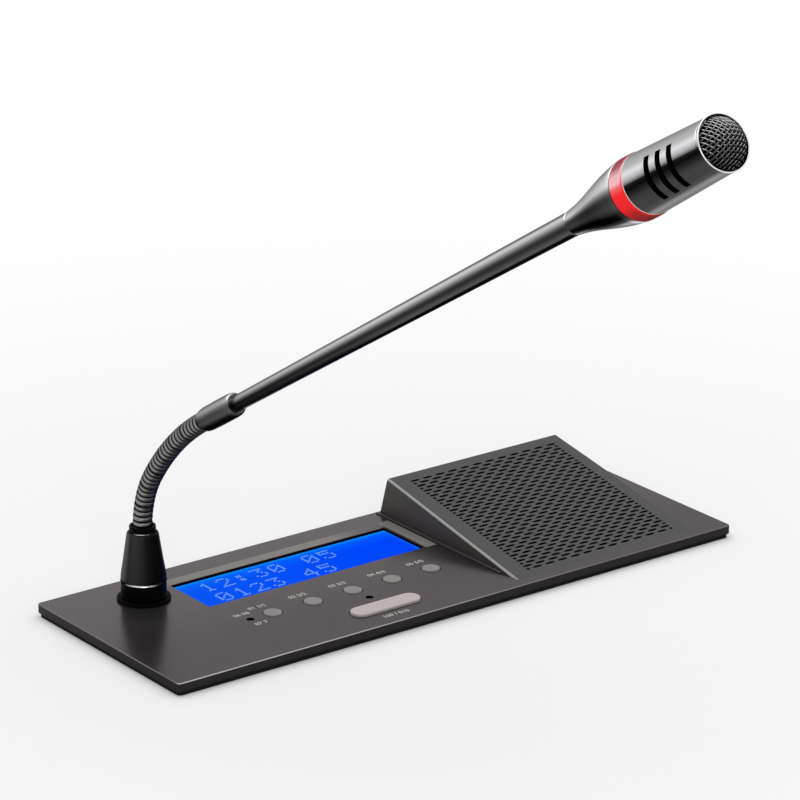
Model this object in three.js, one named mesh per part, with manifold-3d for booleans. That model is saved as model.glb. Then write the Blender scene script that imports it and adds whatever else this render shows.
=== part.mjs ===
// Conference delegate unit: a flush panel with keys, display, loudspeaker and a gooseneck microphone.
// Millimetres, +Z up. The origin is the centre of the back box's flat floor, +Y points away from the user.

import * as THREE from 'three';
import { mergeGeometries, mergeVertices } from 'three/addons/utils/BufferGeometryUtils.js';
import Module from 'manifold-3d';

const wasm = await Module();
wasm.setup();

// Shared clearances
const seatGap = 0.3;
const slideGap = 0.3;
const cutOverrun = 1;

// Smoothness, in sides to a full circle
const roundSides = 24;
const hiddenSides = 16;
const smallSides = 12;
const cornerSteps = 3;

// Panel
const panelThickness = 3;
const panelCornerRadius = 1.5;

// Back box under the panel
const boxWall = 1.2;
const boxCornerRadius = 2;
const rimPastBoxEnds = 8;
const rimPastBoxSides = 6;

// Foam seal between the panel's rim and the tabletop
const sealThickness = 1;
const sealInset = 0.6;

// Side screws of the back box and the panel's lugs that take them
const boxScrewShank = 3;
const boxScrewLength = 6;
const boxScrewHead = 5.5;
const boxScrewHeadHeight = 1.8;
const boxScrewFromCorner = 11;
const boxScrewBelowPanel = 5;
const lugWidth = 9;
const lugThickness = 3;
const lugHeight = 8.5;

// Display window, its lens, frame and board
const windowLength = 85.8;
const windowDepth = 22.1;
const windowCornerRadius = 0.6;
const lensRecess = 0.9;
const frameEndMargin = 2.6;
const frameSideMargin = 3.45;
const frameEndLip = 3.2;
const frameSideLip = 3.8;
const displayFrameHeight = 5;
const displayBoardEndMargin = 1.5;
const displayBoardSideMargin = 2;
const boardThickness = 1.6;
const boardHole = 3.2;
const boardHoleInset = 2.6;

// Round keys
const keyCount = 5;
const windowToFirstKey = 13.5;
const lastKeyToWindowEnd = 10.1;
const keyDiameter = 6;
const keyProud = 0.5;
const keyCrown = 0.25;
const keyFlangeMargin = 0.9;
const keyFlangeThickness = 0.8;
const keyStem = 3.4;
const keyTravel = 0.5;

// Talk key, a bar with round ends
const talkPastKeyMiddle = 0.7;
const talkToKeyRow = 16.5;
const talkLength = 26;
const talkWidth = 7;
const talkProud = 0.8;
const talkEdge = 0.35;
const talkTravel = 0.6;
const talkGuideFromEnd = 3.5;
const talkGuide = 2.4;
const talkGuideBelowBoard = 0.8;

// Key switches on the main board
const switchSide = 6;
const switchHeight = 3.4;
const switchWellDepth = 2.6;
const stemInWell = 1;

// Indicator lights
const speakLightToKey = 8.6;
const speakLightAheadOfKeys = 0.1;
const talkLightPastTalk = 0.2;
const talkLightBehindTalk = 8.7;
const lightDiameter = 2;
const lightBelowPanelTop = 0.4;
const lightFootMargin = 0.5;
const lightFootHeight = 1.2;

// Main board and its spacers
const boardPastLight = 6;
const boardPastLastKey = 14.2;
const boardPastKeyRow = 9.7;
const spacerDiameter = 5;

// Loudspeaker cover, a wedge with drafted walls
const coverLength = 73.8;
const coverFront = 4.1;
const coverSideDraft = 1;
const coverBackDraft = 2.6;
const coverHeight = 12.8;
const coverFrontHeight = 0.9;
const coverWall = 1.2;

// Slots of the grille
const slotLength = 3.6;
const slotWidth = 1.35;
const slotPitch = 6.55;
const slotRowPitch = 2.58;
const grilleFromCoverLeft = 8.2;
const grilleToCoverRight = 5;
const grilleFromCoverFront = 4.9;
const grilleToCoverBack = 5;

// Dust cloth under the grille
const clothThickness = 0.5;
const clothMargin = 3;
const clothToSolidFront = 0.75;

// Loudspeaker
const speakerBeforeCoverMiddle = 0.3;
const speakerOpening = 46;
const basketFlangeWidth = 3;
const basketFlangeThickness = 1.4;
const basketDepth = 13;
const basketWall = 1;
const basketSeat = 24;
const basketWindow = 12;
const basketWindowHeight = 6;
const coneToBasket = 1.3;
const coneNeck = 14;
const coneDepth = 8.5;
const coneWall = 0.7;
const coneRoll = 1.4;
const dustCapRise = 2.6;
const dustCapFlankShare = 0.75;
const magnetDiameter = 32;
const magnetThickness = 6;
const magnetPlateInset = 2;
const magnetPlateThickness = 1.6;

// Data ports in the back wall
const portFromCentre = 16;
const portWidth = 16;
const portHeight = 13;
const portDepth = 18;
const portFloor = 6;
const portProud = 0.8;
const portMouthWidth = 11.8;
const portMouthHeight = 7;
const portMouthDepth = 13;
const portNotchWidth = 6;
const portNotchHeight = 2;

// Microphone socket in the panel
const socketThread = 12.4;
const socketWall = 1.4;
const threadToLip = 0.7;
const socketBelowPanel = 15;
const socketFloor = 1.5;
const socketShoulderMargin = 1.3;
const socketShoulderHeight = 3;
const socketRingMargin = 1.65;
const socketRingThickness = 0.9;
const nutMargin = 2.3;
const nutThickness = 3;
const insertHeight = 5;

// Lock collar round the socket's thread
const collarWall = 0.75;
const collarTop = 7.2;
const collarLipThickness = 1.1;
const collarEdge = 0.5;

// Plug and its tapered sleeve
const plugHeadMargin = 1.1;
const plugHeadHeight = 5.5;
const sleeveFootWall = 1.45;
const sleeveTopWall = 1.35;
const sleeveTop = 23.4;
const sleeveWall = 1.2;
const sleeveRingWall = 0.65;
const sleeveRingHeight = 1.3;

// Gooseneck: two arcs in the upright plane that faces the user
const neckStartInSleeve = 0.4;
const neckFirstRadius = 35;
const neckFirstTurn = THREE.MathUtils.degToRad(36.2);
const neckSecondRadius = 98;
const neckSecondTurn = THREE.MathUtils.degToRad(22.6);
const neckCrest = 6.3;
const neckRibDepth = 0.5;
const neckBore = 2.4;
const neckBallInset = 0.35;
const neckBallGap = 0.4;
const neckCupInset = 0.25;
const neckBallShares = [1, 0.92, 0.7];
const neckCupMiddleShare = 0.65;
const neckLinks = 6;
const neckFirstPivot = 5.6;
const neckLastPivotToFerrule = 5.97;
const neckRibsToLink = 3;
const neckCrestPastPivot = 1.9;
const neckCrestBeforePivot = 0.6;
const neckSides = 12;

// Ferrule and rod
const ferruleWall = 0.8;
const ferruleLength = 21.3;
const ferruleEdge = 0.6;
const rodLength = 182;
const rodLowDiameter = 5.5;
const rodHighDiameter = 7;

// Microphone head
const headConeLength = 32.6;
const headConeInset = 0.2;
const headNeckStep = 0.2;
const headHollowShare = 0.7;
const headConeShapeShares = [[0.12, 0.06], [0.34, 0.3], [0.56, 0.57], [0.78, 0.82], [0.92, 0.95]];
const lightRingDiameter = 18;
const lightRingWidth = 6;
const lightRingWall = 3;
const headBodyLength = 31.4;
const headBodyInset = 0.4;
const headTaper = 0.8;
const headWall = 1.1;
const headFloor = 2;
const headSlotCount = 3;
const headSlotPitch = 4.9;
const headSlotWidth = 1.9;
const headFirstSlot = 9.7;
const headSlotArc = THREE.MathUtils.degToRad(92);
const headSlotTurn = THREE.MathUtils.degToRad(-9);
const rimStep = 0.2;
const rimHeight = 1.3;
const rimWidth = 1;
const meshRise = 4.6;
const meshWall = 0.5;
const meshDomeShares = [1, 0.85, 0.62, 0.34, 0];
const capsuleLength = 6.5;
const capsuleBelowRim = 3;
const capsuleCupWall = 1.25;
const capsuleCupFloor = 1.4;

// Room left between neighbours
const socketToEndWall = 12.7;
const socketToBackWall = 2.3;
const nutToDisplayFrame = 1.1;
const windowToCover = 6;
const coverToPanelEnd = 12.8;
const coverToPanelBack = 1.6;
const boardToFrontWall = 0.6;
const talkFlangeToFrontWall = 0.8;
const boardToDisplayBoard = 0.75;
const displayBoardToBackWall = 0.45;
const portsToDisplayBoard = 3.8;

// Widths that follow the piece they go round or into
const keyFlange = keyDiameter + 2 * keyFlangeMargin;
const lightFoot = lightDiameter + 2 * lightFootMargin;
const displayFrameLength = windowLength + 2 * frameEndMargin;
const displayFrameDepth = windowDepth + 2 * frameSideMargin;
const displayBoardLength = displayFrameLength + 2 * displayBoardEndMargin;
const displayBoardDepth = displayFrameDepth + 2 * displayBoardSideMargin;
const talkGuideSpacing = talkLength - 2 * talkGuideFromEnd;
const basketDiameter = speakerOpening + 2 * basketFlangeWidth;
const coneDiameter = speakerOpening - 2 * basketWall - 2 * coneToBasket;
const magnetPlateDiameter = magnetDiameter - 2 * magnetPlateInset;
const socketBore = socketThread - 2 * socketWall;
const socketShoulder = socketThread + 2 * socketShoulderMargin;
const nutAcrossCorners = socketThread + 2 * nutMargin;
const collarDiameter = socketThread + 2 * slideGap + 2 * collarWall;
const socketRing = collarDiameter + 2 * socketRingMargin;
const plugDiameter = socketBore - 2 * seatGap;
const plugHeadDiameter = plugDiameter + 2 * plugHeadMargin;
const sleeveFootDiameter = plugHeadDiameter + 2 * seatGap + 2 * sleeveFootWall;
const sleeveTopDiameter = neckCrest + 2 * seatGap + 2 * sleeveTopWall;
const sleeveRingDiameter = neckCrest + 2 * seatGap + 2 * sleeveRingWall;
const neckRootDiameter = neckCrest - 2 * neckRibDepth;
const neckBall = neckCrest - 2 * neckBallInset;
const neckCupEdge = neckCrest - 2 * neckCupInset;
const ferruleDiameter = neckCrest + 2 * ferruleWall;
const headNeckDiameter = rodHighDiameter + 2 * headNeckStep;
const headConeDiameter = lightRingDiameter - 2 * headConeInset;
const lightRingBore = lightRingDiameter - 2 * lightRingWall;
const headBodyDiameter = lightRingDiameter - 2 * headBodyInset;
const headMouthDiameter = headBodyDiameter - 2 * headTaper;
const rimDiameter = headMouthDiameter + 2 * rimStep;
const meshDiameter = rimDiameter - 2 * rimWidth;
const capsuleCupDiameter = headMouthDiameter - 2 * headWall - 2 * seatGap;
const capsuleDiameter = capsuleCupDiameter - 2 * capsuleCupWall - 2 * seatGap;

// Distances from the panel's left end to its right end
const socketFromLeft = rimPastBoxEnds + boxWall + socketToEndWall + socketShoulder / 2;
const windowLeft = socketFromLeft + nutAcrossCorners / 2 + nutToDisplayFrame + frameEndMargin;
const firstKeyFromLeft = windowLeft + windowToFirstKey;
const lastKeyFromLeft = windowLeft + windowLength - lastKeyToWindowEnd;
const keyPitch = (lastKeyFromLeft - firstKeyFromLeft) / (keyCount - 1);
const talkFromLeft = (firstKeyFromLeft + lastKeyFromLeft) / 2 + talkPastKeyMiddle;
const speakLightFromLeft = firstKeyFromLeft - speakLightToKey;
const talkLightFromLeft = talkFromLeft + talkLightPastTalk;
const boardLeft = speakLightFromLeft - boardPastLight;
const boardLength = lastKeyFromLeft + boardPastLastKey - boardLeft;
const coverLeft = windowLeft + windowLength + windowToCover;
const coverRight = coverLeft + coverLength;
const speakerFromLeft = (coverLeft + coverRight) / 2 - speakerBeforeCoverMiddle;
const panelLength = coverRight + coverToPanelEnd;
const boxLength = panelLength - 2 * rimPastBoxEnds;

// Distances from the panel's front edge to its back edge
const boxInnerFront = rimPastBoxSides + boxWall;
const boardFront = boxInnerFront + boardToFrontWall;
const talkFromFront = boxInnerFront + talkFlangeToFrontWall + keyFlangeMargin + talkWidth / 2;
const talkLightFromFront = talkFromFront + talkLightBehindTalk;
const keyRowFromFront = talkFromFront + talkToKeyRow;
const speakLightFromFront = keyRowFromFront - speakLightAheadOfKeys;
const boardDepth = keyRowFromFront + boardPastKeyRow - boardFront;
const displayBoardFront = boardFront + boardDepth + boardToDisplayBoard;
const windowFront = displayBoardFront + displayBoardSideMargin + frameSideMargin;
const panelDepth = displayBoardFront + displayBoardDepth + displayBoardToBackWall + boxInnerFront;
const boxDepth = panelDepth - 2 * rimPastBoxSides;
const boxScrewSpacing = boxDepth - 2 * boxScrewFromCorner;
const socketFromFront = panelDepth - boxInnerFront - socketToBackWall - socketShoulder / 2;
const coverBack = panelDepth - coverToPanelBack;
const speakerFromFront = panelDepth / 2;

// Levels, worked out upwards from the back box's floor
const displayBoardTop = portFloor + portHeight + portsToDisplayBoard + boardThickness;
const displayFrameTop = displayBoardTop + seatGap + displayFrameHeight;
const lensLow = displayFrameTop + seatGap;
const boxHeight = lensLow;
const panelUnderside = boxHeight + seatGap;
const panelTop = panelUnderside + panelThickness;
const keyFlangeTop = panelUnderside - seatGap;
const boardTop = keyFlangeTop - keyFlangeThickness - keyTravel - seatGap - switchHeight - seatGap;
const lensTop = panelTop - lensRecess;
const coverBase = panelTop + seatGap;
const collarBase = panelTop + socketRingThickness + seatGap;
const socketAbovePanel = collarTop - collarLipThickness - threadToLip;
const neckStart = sleeveTop - neckStartInSleeve;
const sleeveFoot = panelTop + collarTop + seatGap;

// Places, from the panel's left end and front edge
const acrossFromLeft = (distance) => distance - panelLength / 2;
const backFromFront = (distance) => distance - panelDepth / 2;

// Finishes
function finish(color, roughness, metalness) {
  return new THREE.MeshStandardMaterial({ color, roughness, metalness });
}

const panelPaint = finish('#5f5c5b', 0.45, 0.3);
const coverPaint = finish('#5a5a5a', 0.5, 0.3);
const keyPlastic = finish('#a5a3a2', 0.5, 0);
const talkPlastic = finish('#bab2b1', 0.5, 0);
const blackGloss = finish('#0b0b0c', 0.15, 0.2);
const gunmetal = finish('#26262a', 0.28, 0.8);
const springSteel = finish('#4a4a4e', 0.35, 0.9);
const brightMetal = finish('#c9c9cc', 0.2, 1);
const steelSheet = finish('#8f9194', 0.45, 0.8);
const boardGreen = finish('#1f5136', 0.5, 0.1);
const blackPlastic = finish('#17181a', 0.55, 0);
const displayBlue = finish('#0048ff', 0.2, 0);
const redGlow = finish('#ff3232', 0.3, 0);
const foam = finish('#232323', 0.95, 0);
const paperCone = finish('#2a2a2c', 0.85, 0);
const dustCloth = finish('#101011', 0.95, 0);
const darkLight = finish('#3a1414', 0.3, 0);

// One closed body whose faces point out, without doubled points or empty faces
function closedBody(source) {
  const bare = source.index ? source.clone() : source;
  for (const attribute of Object.keys(bare.attributes)) {
    if (attribute !== 'position') bare.deleteAttribute(attribute);
  }
  const merged = mergeVertices(bare);
  const corners = merged.index.array;
  const kept = [];
  for (let i = 0; i < corners.length; i += 3) {
    const [a, b, c] = [corners[i], corners[i + 1], corners[i + 2]];
    if (a !== b && b !== c && c !== a) kept.push(a, b, c);
  }
  const places = merged.attributes.position;
  const [p, q, r] = [new THREE.Vector3(), new THREE.Vector3(), new THREE.Vector3()];
  let volume = 0;
  for (let i = 0; i < kept.length; i += 3) {
    p.fromBufferAttribute(places, kept[i]);
    q.fromBufferAttribute(places, kept[i + 1]);
    r.fromBufferAttribute(places, kept[i + 2]);
    volume += p.dot(q.cross(r));
  }
  if (volume < 0) kept.reverse();
  merged.setIndex(kept);
  return merged;
}

function toManifold(geometry) {
  const body = closedBody(geometry);
  return new wasm.Manifold(new wasm.Mesh({
    numProp: 3,
    vertProperties: Float32Array.from(body.attributes.position.array),
    triVerts: Uint32Array.from(body.index.array),
  }));
}

function fromManifold(solid) {
  const mesh = solid.getMesh();
  const geometry = new THREE.BufferGeometry();
  geometry.setAttribute('position', new THREE.BufferAttribute(Float32Array.from(mesh.vertProperties), 3));
  geometry.setIndex(Array.from(mesh.triVerts));
  return geometry;
}

// The base with every tool taken away
function cut(base, ...tools) {
  return fromManifold(tools.reduce((solid, tool) => solid.subtract(toManifold(tool)), toManifold(base)));
}

// The pieces joined into one solid
function join(first, ...others) {
  return fromManifold(others.reduce((solid, other) => solid.add(toManifold(other)), toManifold(first)));
}

// A solid of revolution about Z, from [radius, height] points
function revolve(profile, sides = roundSides) {
  const points = profile.map(([radius, height]) => new THREE.Vector2(radius, height));
  return new THREE.LatheGeometry(points, sides).rotateX(Math.PI / 2);
}

// A ring of revolution: the profile closes on itself
function revolveRing(profile, sides = roundSides) {
  return revolve([...profile, profile[0]], sides);
}

function cylinder(radius, bottom, top, sides = roundSides) {
  return revolve([[0, bottom], [radius, bottom], [radius, top], [0, top]], sides);
}

function tube(inner, outer, bottom, top, sides = roundSides) {
  return revolveRing([[inner, bottom], [outer, bottom], [outer, top], [inner, top]], sides);
}

// A block from its lowest and highest corners
function block(x0, x1, y0, y1, z0, z1) {
  const middle = [(x0 + x1) / 2, (y0 + y1) / 2, (z0 + z1) / 2];
  return new THREE.BoxGeometry(x1 - x0, y1 - y0, z1 - z0).translate(...middle);
}

// A plate standing from bottom to top, cut from a flat outline
function plate(outline, bottom, top, curveSegments = cornerSteps) {
  const settings = { depth: top - bottom, bevelEnabled: false, curveSegments };
  return new THREE.ExtrudeGeometry(outline, settings).translate(0, 0, bottom);
}

function roundedRectangle(Kind, centreX, centreY, length, depth, radius) {
  const [x0, x1] = [centreX - length / 2, centreX + length / 2];
  const [y0, y1] = [centreY - depth / 2, centreY + depth / 2];
  const outline = new Kind();
  outline.absarc(x1 - radius, y0 + radius, radius, -Math.PI / 2, 0);
  outline.absarc(x1 - radius, y1 - radius, radius, 0, Math.PI / 2);
  outline.absarc(x0 + radius, y1 - radius, radius, Math.PI / 2, Math.PI);
  outline.absarc(x0 + radius, y0 + radius, radius, Math.PI, 1.5 * Math.PI);
  outline.closePath();
  return outline;
}

// A bar outline with half-round ends, its length along X
function stadium(Kind, centreX, centreY, length, width) {
  const radius = width / 2;
  const reach = length / 2 - radius;
  const outline = new Kind();
  outline.absarc(centreX + reach, centreY, radius, -Math.PI / 2, Math.PI / 2);
  outline.absarc(centreX - reach, centreY, radius, Math.PI / 2, 1.5 * Math.PI);
  outline.closePath();
  return outline;
}

// A solid with six flat sides, from four lower and four upper corners, each set anticlockwise
function sixSided(lower, upper) {
  const geometry = new THREE.BufferGeometry();
  geometry.setAttribute('position', new THREE.Float32BufferAttribute([...lower, ...upper].flat(), 3));
  const faces = [0, 2, 1, 0, 3, 2, 4, 5, 6, 4, 6, 7];
  for (let side = 0; side < 4; side += 1) {
    const next = (side + 1) % 4;
    faces.push(side, next, next + 4, side, next + 4, side + 4);
  }
  geometry.setIndex(faces);
  return geometry;
}

// Places that more than one piece uses
const keyCentres = Array.from({ length: keyCount }, (_, i) => ({
  x: acrossFromLeft(firstKeyFromLeft + i * keyPitch),
  y: backFromFront(keyRowFromFront),
}));
const talkCentre = { x: acrossFromLeft(talkFromLeft), y: backFromFront(talkFromFront) };
const lightCentres = [
  { x: acrossFromLeft(speakLightFromLeft), y: backFromFront(speakLightFromFront) },
  { x: acrossFromLeft(talkLightFromLeft), y: backFromFront(talkLightFromFront) },
];
const windowCentre = {
  x: acrossFromLeft(windowLeft + windowLength / 2),
  y: backFromFront(windowFront + windowDepth / 2),
};
const speakerCentre = { x: acrossFromLeft(speakerFromLeft), y: backFromFront(speakerFromFront) };
const socketCentre = { x: acrossFromLeft(socketFromLeft), y: backFromFront(socketFromFront) };
const boardCentre = {
  x: acrossFromLeft(boardLeft + boardLength / 2),
  y: backFromFront(boardFront + boardDepth / 2),
};
const screwSides = [
  { side: -1, y: -boxScrewSpacing / 2 },
  { side: -1, y: boxScrewSpacing / 2 },
  { side: 1, y: -boxScrewSpacing / 2 },
  { side: 1, y: boxScrewSpacing / 2 },
];
const screwLevel = panelUnderside - boxScrewBelowPanel;
const lugOuterFace = boxLength / 2 - boxWall - seatGap;

// A short cylinder along X, for the side screws and their holes
function crosswise(radius, length, sides = smallSides) {
  return cylinder(radius, 0, length, sides).rotateY(Math.PI / 2);
}

// Panel plate with every opening, and the four lugs that hold the back box
function topPanel() {
  const outline = roundedRectangle(THREE.Shape, 0, 0, panelLength, panelDepth, panelCornerRadius);
  const plain = plate(outline, panelUnderside, panelTop);
  const through = (hole, steps) => plate(hole, panelUnderside - cutOverrun, panelTop + cutOverrun, steps);
  const round = (centre, diameter, sides = roundSides) => cylinder(
    diameter / 2, panelUnderside - cutOverrun, panelTop + cutOverrun, sides,
  ).translate(centre.x, centre.y, 0);
  const window = roundedRectangle(
    THREE.Shape, windowCentre.x, windowCentre.y, windowLength, windowDepth, windowCornerRadius,
  );
  const talkHole = stadium(
    THREE.Shape, talkCentre.x, talkCentre.y, talkLength + 2 * slideGap, talkWidth + 2 * slideGap,
  );
  const openings = [
    through(window),
    through(talkHole, smallSides / 2),
    round(socketCentre, socketThread + 2 * seatGap),
    round(speakerCentre, speakerOpening),
    ...keyCentres.map((centre) => round(centre, keyDiameter + 2 * slideGap)),
    ...lightCentres.map((centre) => round(centre, lightDiameter + 2 * seatGap, smallSides)),
  ];
  const lugs = screwSides.map(({ side, y }) => {
    const faces = [side * lugOuterFace, side * (lugOuterFace - lugThickness)].sort((a, b) => a - b);
    const low = panelUnderside - lugHeight;
    return block(...faces, y - lugWidth / 2, y + lugWidth / 2, low, panelUnderside + seatGap);
  });
  const tapped = screwSides.map(({ side, y }) => crosswise(
    boxScrewShank / 2 + seatGap, lugThickness + 2 * cutOverrun,
  ).translate(side * (lugOuterFace - lugThickness / 2) - lugThickness / 2 - cutOverrun, y, screwLevel));
  return cut(join(cut(plain, ...openings), ...lugs), ...tapped);
}

// Foam ring under the panel's rim, round the back box, its screw heads and its ports
function rimSeal() {
  const outline = roundedRectangle(
    THREE.Shape, 0, 0, panelLength - 2 * sealInset, panelDepth - 2 * sealInset, panelCornerRadius,
  );
  const pastEnds = seatGap + boxScrewHeadHeight + seatGap;
  const pastSides = portProud + seatGap;
  outline.holes.push(roundedRectangle(
    THREE.Path, 0, 0, boxLength + 2 * pastEnds, boxDepth + 2 * pastSides, boxCornerRadius,
  ));
  return plate(outline, panelUnderside - seatGap - sealThickness, panelUnderside - seatGap);
}

// Folded tray with holes for the side screws and the two data ports
function backBox() {
  const outline = roundedRectangle(THREE.Shape, 0, 0, boxLength, boxDepth, boxCornerRadius);
  const outer = plate(outline, 0, boxHeight);
  const inside = roundedRectangle(
    THREE.Shape, 0, 0, boxLength - 2 * boxWall, boxDepth - 2 * boxWall, boxCornerRadius - boxWall,
  );
  const hollow = plate(inside, boxWall, boxHeight + cutOverrun);
  const screwHoles = screwSides.map(({ side, y }) => crosswise(
    boxScrewShank / 2 + seatGap, boxWall + 2 * cutOverrun,
  ).translate(side * (boxLength / 2 - boxWall / 2) - boxWall / 2 - cutOverrun, y, screwLevel));
  const portHoles = [-1, 1].map((side) => block(
    side * portFromCentre - portWidth / 2 - seatGap, side * portFromCentre + portWidth / 2 + seatGap,
    boxDepth / 2 - boxWall - cutOverrun, boxDepth / 2 + cutOverrun,
    portFloor - seatGap, portFloor + portHeight + seatGap,
  ));
  return cut(outer, hollow, ...screwHoles, ...portHoles);
}

// Pan head screw along X, its head outside the box's end wall
function boxScrew({ side, y }) {
  const headFace = boxLength / 2 + seatGap;
  const shank = cylinder(boxScrewShank / 2, -boxScrewLength, cutOverrun, smallSides);
  const head = revolve([
    [0, 0],
    [boxScrewHead / 2, 0],
    [boxScrewHead / 2, boxScrewHeadHeight / 2],
    [boxScrewHead / 3, boxScrewHeadHeight],
    [0, boxScrewHeadHeight],
  ], smallSides);
  return join(head, shank).rotateY(side * Math.PI / 2).translate(side * headFace, y, screwLevel);
}

// Data port with a stepped mouth that opens backwards
function dataPort(side) {
  const x = side * portFromCentre;
  const face = boxDepth / 2 + portProud;
  const shell = block(
    x - portWidth / 2, x + portWidth / 2, face - portDepth, face, portFloor, portFloor + portHeight,
  );
  const mouthTop = portFloor + portHeight - (portHeight - portMouthHeight - portNotchHeight) / 2;
  const mouth = block(
    x - portMouthWidth / 2, x + portMouthWidth / 2,
    face - portMouthDepth, face + cutOverrun, mouthTop - portMouthHeight, mouthTop,
  );
  const notch = block(
    x - portNotchWidth / 2, x + portNotchWidth / 2, face - portMouthDepth, face + cutOverrun,
    mouthTop - portMouthHeight - portNotchHeight, mouthTop - portMouthHeight / 2,
  );
  return cut(shell, mouth, notch);
}

// Blue lens that fills the window, set below the panel's face
function displayLens() {
  const outline = roundedRectangle(
    THREE.Shape, windowCentre.x, windowCentre.y,
    windowLength - 2 * seatGap, windowDepth - 2 * seatGap, windowCornerRadius,
  );
  return plate(outline, lensLow, lensTop);
}

function displayFrame() {
  const outline = roundedRectangle(
    THREE.Shape, windowCentre.x, windowCentre.y, displayFrameLength, displayFrameDepth, windowCornerRadius,
  );
  outline.holes.push(roundedRectangle(
    THREE.Path, windowCentre.x, windowCentre.y,
    displayFrameLength - 2 * frameEndLip, displayFrameDepth - 2 * frameSideLip,
    windowCornerRadius,
  ));
  return plate(outline, displayFrameTop - displayFrameHeight, displayFrameTop);
}

// A circuit board with a fixing hole in each corner
function board(centre, length, depth, top) {
  const outline = roundedRectangle(THREE.Shape, centre.x, centre.y, length, depth, panelCornerRadius);
  for (const [sideX, sideY] of [[-1, -1], [1, -1], [1, 1], [-1, 1]]) {
    const hole = new THREE.Path();
    const holeX = centre.x + sideX * (length / 2 - boardHoleInset);
    const holeY = centre.y + sideY * (depth / 2 - boardHoleInset);
    hole.absarc(holeX, holeY, boardHole / 2, 0, 2 * Math.PI, true);
    outline.holes.push(hole);
  }
  return plate(outline, top - boardThickness, top, cornerSteps + 1);
}

function displayBoard() {
  return board(windowCentre, displayBoardLength, displayBoardDepth, displayBoardTop);
}

// Main board, with two more holes for the talk key's guides
function mainBoard() {
  const guideHoles = [-1, 1].map((side) => cylinder(
    talkGuide / 2 + slideGap, boardTop - boardThickness - cutOverrun, boardTop + cutOverrun, smallSides,
  ).translate(talkCentre.x + side * talkGuideSpacing / 2, talkCentre.y, 0));
  return cut(board(boardCentre, boardLength, boardDepth, boardTop), ...guideHoles);
}

// Spacer between the panel and a corner of the main board
function boardSpacer(sideX, sideY) {
  const x = boardCentre.x + sideX * (boardLength / 2 - boardHoleInset);
  const y = boardCentre.y + sideY * (boardDepth / 2 - boardHoleInset);
  const pillar = cylinder(spacerDiameter / 2, boardTop + seatGap, panelUnderside - seatGap, smallSides / 2);
  return pillar.translate(x, y, 0);
}

// Switch housing with the well that takes a key's stem
function keySwitch(centre) {
  const bottom = boardTop + seatGap;
  const top = bottom + switchHeight;
  const half = switchSide / 2;
  const housing = block(-half, half, -half, half, bottom, top);
  const well = cylinder(keyStem / 2 + slideGap, top - switchWellDepth, top + cutOverrun, smallSides);
  return cut(housing, well).translate(centre.x, centre.y, 0);
}

const stemFoot = boardTop + seatGap + switchHeight - stemInWell;

// Round key: crowned cap, flange under the panel and stem into its switch
function roundKey(centre) {
  const capTop = panelTop + keyProud;
  return revolve([
    [0, stemFoot],
    [keyStem / 2, stemFoot],
    [keyStem / 2, keyFlangeTop - keyFlangeThickness],
    [keyFlange / 2, keyFlangeTop - keyFlangeThickness],
    [keyFlange / 2, keyFlangeTop],
    [keyDiameter / 2, keyFlangeTop],
    [keyDiameter / 2, capTop - keyCrown],
    [keyDiameter / 2 - keyCrown, capTop],
    [0, capTop],
  ]).translate(centre.x, centre.y, 0);
}

// Talk key: bar with an eased edge, flange, stem and two guides through the main board
function talkKey() {
  const steps = smallSides / 2;
  const { x, y } = talkCentre;
  const capTop = panelTop + talkProud;
  const outline = stadium(THREE.Shape, x, y, talkLength, talkWidth);
  const body = plate(outline, keyFlangeTop, capTop - talkEdge, steps);
  const eased = new THREE.ExtrudeGeometry(
    stadium(THREE.Shape, x, y, talkLength - 2 * talkEdge, talkWidth - 2 * talkEdge),
    {
      depth: talkEdge,
      bevelEnabled: true,
      bevelThickness: talkEdge,
      bevelSize: talkEdge,
      bevelSegments: 1,
      curveSegments: steps,
    },
  ).translate(0, 0, capTop - 2 * talkEdge);
  const flange = plate(stadium(
    THREE.Shape, x, y, talkLength + 2 * keyFlangeMargin, talkWidth + 2 * keyFlangeMargin,
  ), keyFlangeTop - keyFlangeThickness, keyFlangeTop, steps);
  const stem = cylinder(keyStem / 2, stemFoot, keyFlangeTop, smallSides).translate(x, y, 0);
  const guideFoot = boardTop - boardThickness - talkGuideBelowBoard;
  const guides = [-1, 1].map((side) => cylinder(
    talkGuide / 2, guideFoot, keyFlangeTop, smallSides,
  ).translate(x + side * talkGuideSpacing / 2, y, 0));
  return join(body, eased, flange, stem, ...guides);
}

// Light with a domed tip that shows in its hole in the panel
function indicatorLight(centre) {
  const foot = boardTop + seatGap;
  const radius = lightDiameter / 2;
  const tip = panelTop - lightBelowPanelTop;
  return revolve([
    [0, foot],
    [lightFoot / 2, foot],
    [lightFoot / 2, foot + lightFootHeight],
    [radius, foot + lightFootHeight],
    [radius, tip - radius],
    [radius * Math.cos(Math.PI / 4), tip - radius + radius * Math.sin(Math.PI / 4)],
    [0, tip],
  ], smallSides).translate(centre.x, centre.y, 0);
}

// The cover's slope: its height above its base at a distance from its front edge
const coverTopRun = coverBack - coverBackDraft - coverFront;
const coverSlope = (coverHeight - coverFrontHeight) / coverTopRun;
const coverTilt = Math.atan(coverSlope);
const coverHeightAt = (fromPanelFront) => coverFrontHeight + (fromPanelFront - coverFront) * coverSlope;
const coverDrop = coverWall / Math.cos(coverTilt);
const coverSolidFront = coverFront + coverWall + (coverDrop + coverWall / 2) / coverSlope;

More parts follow.
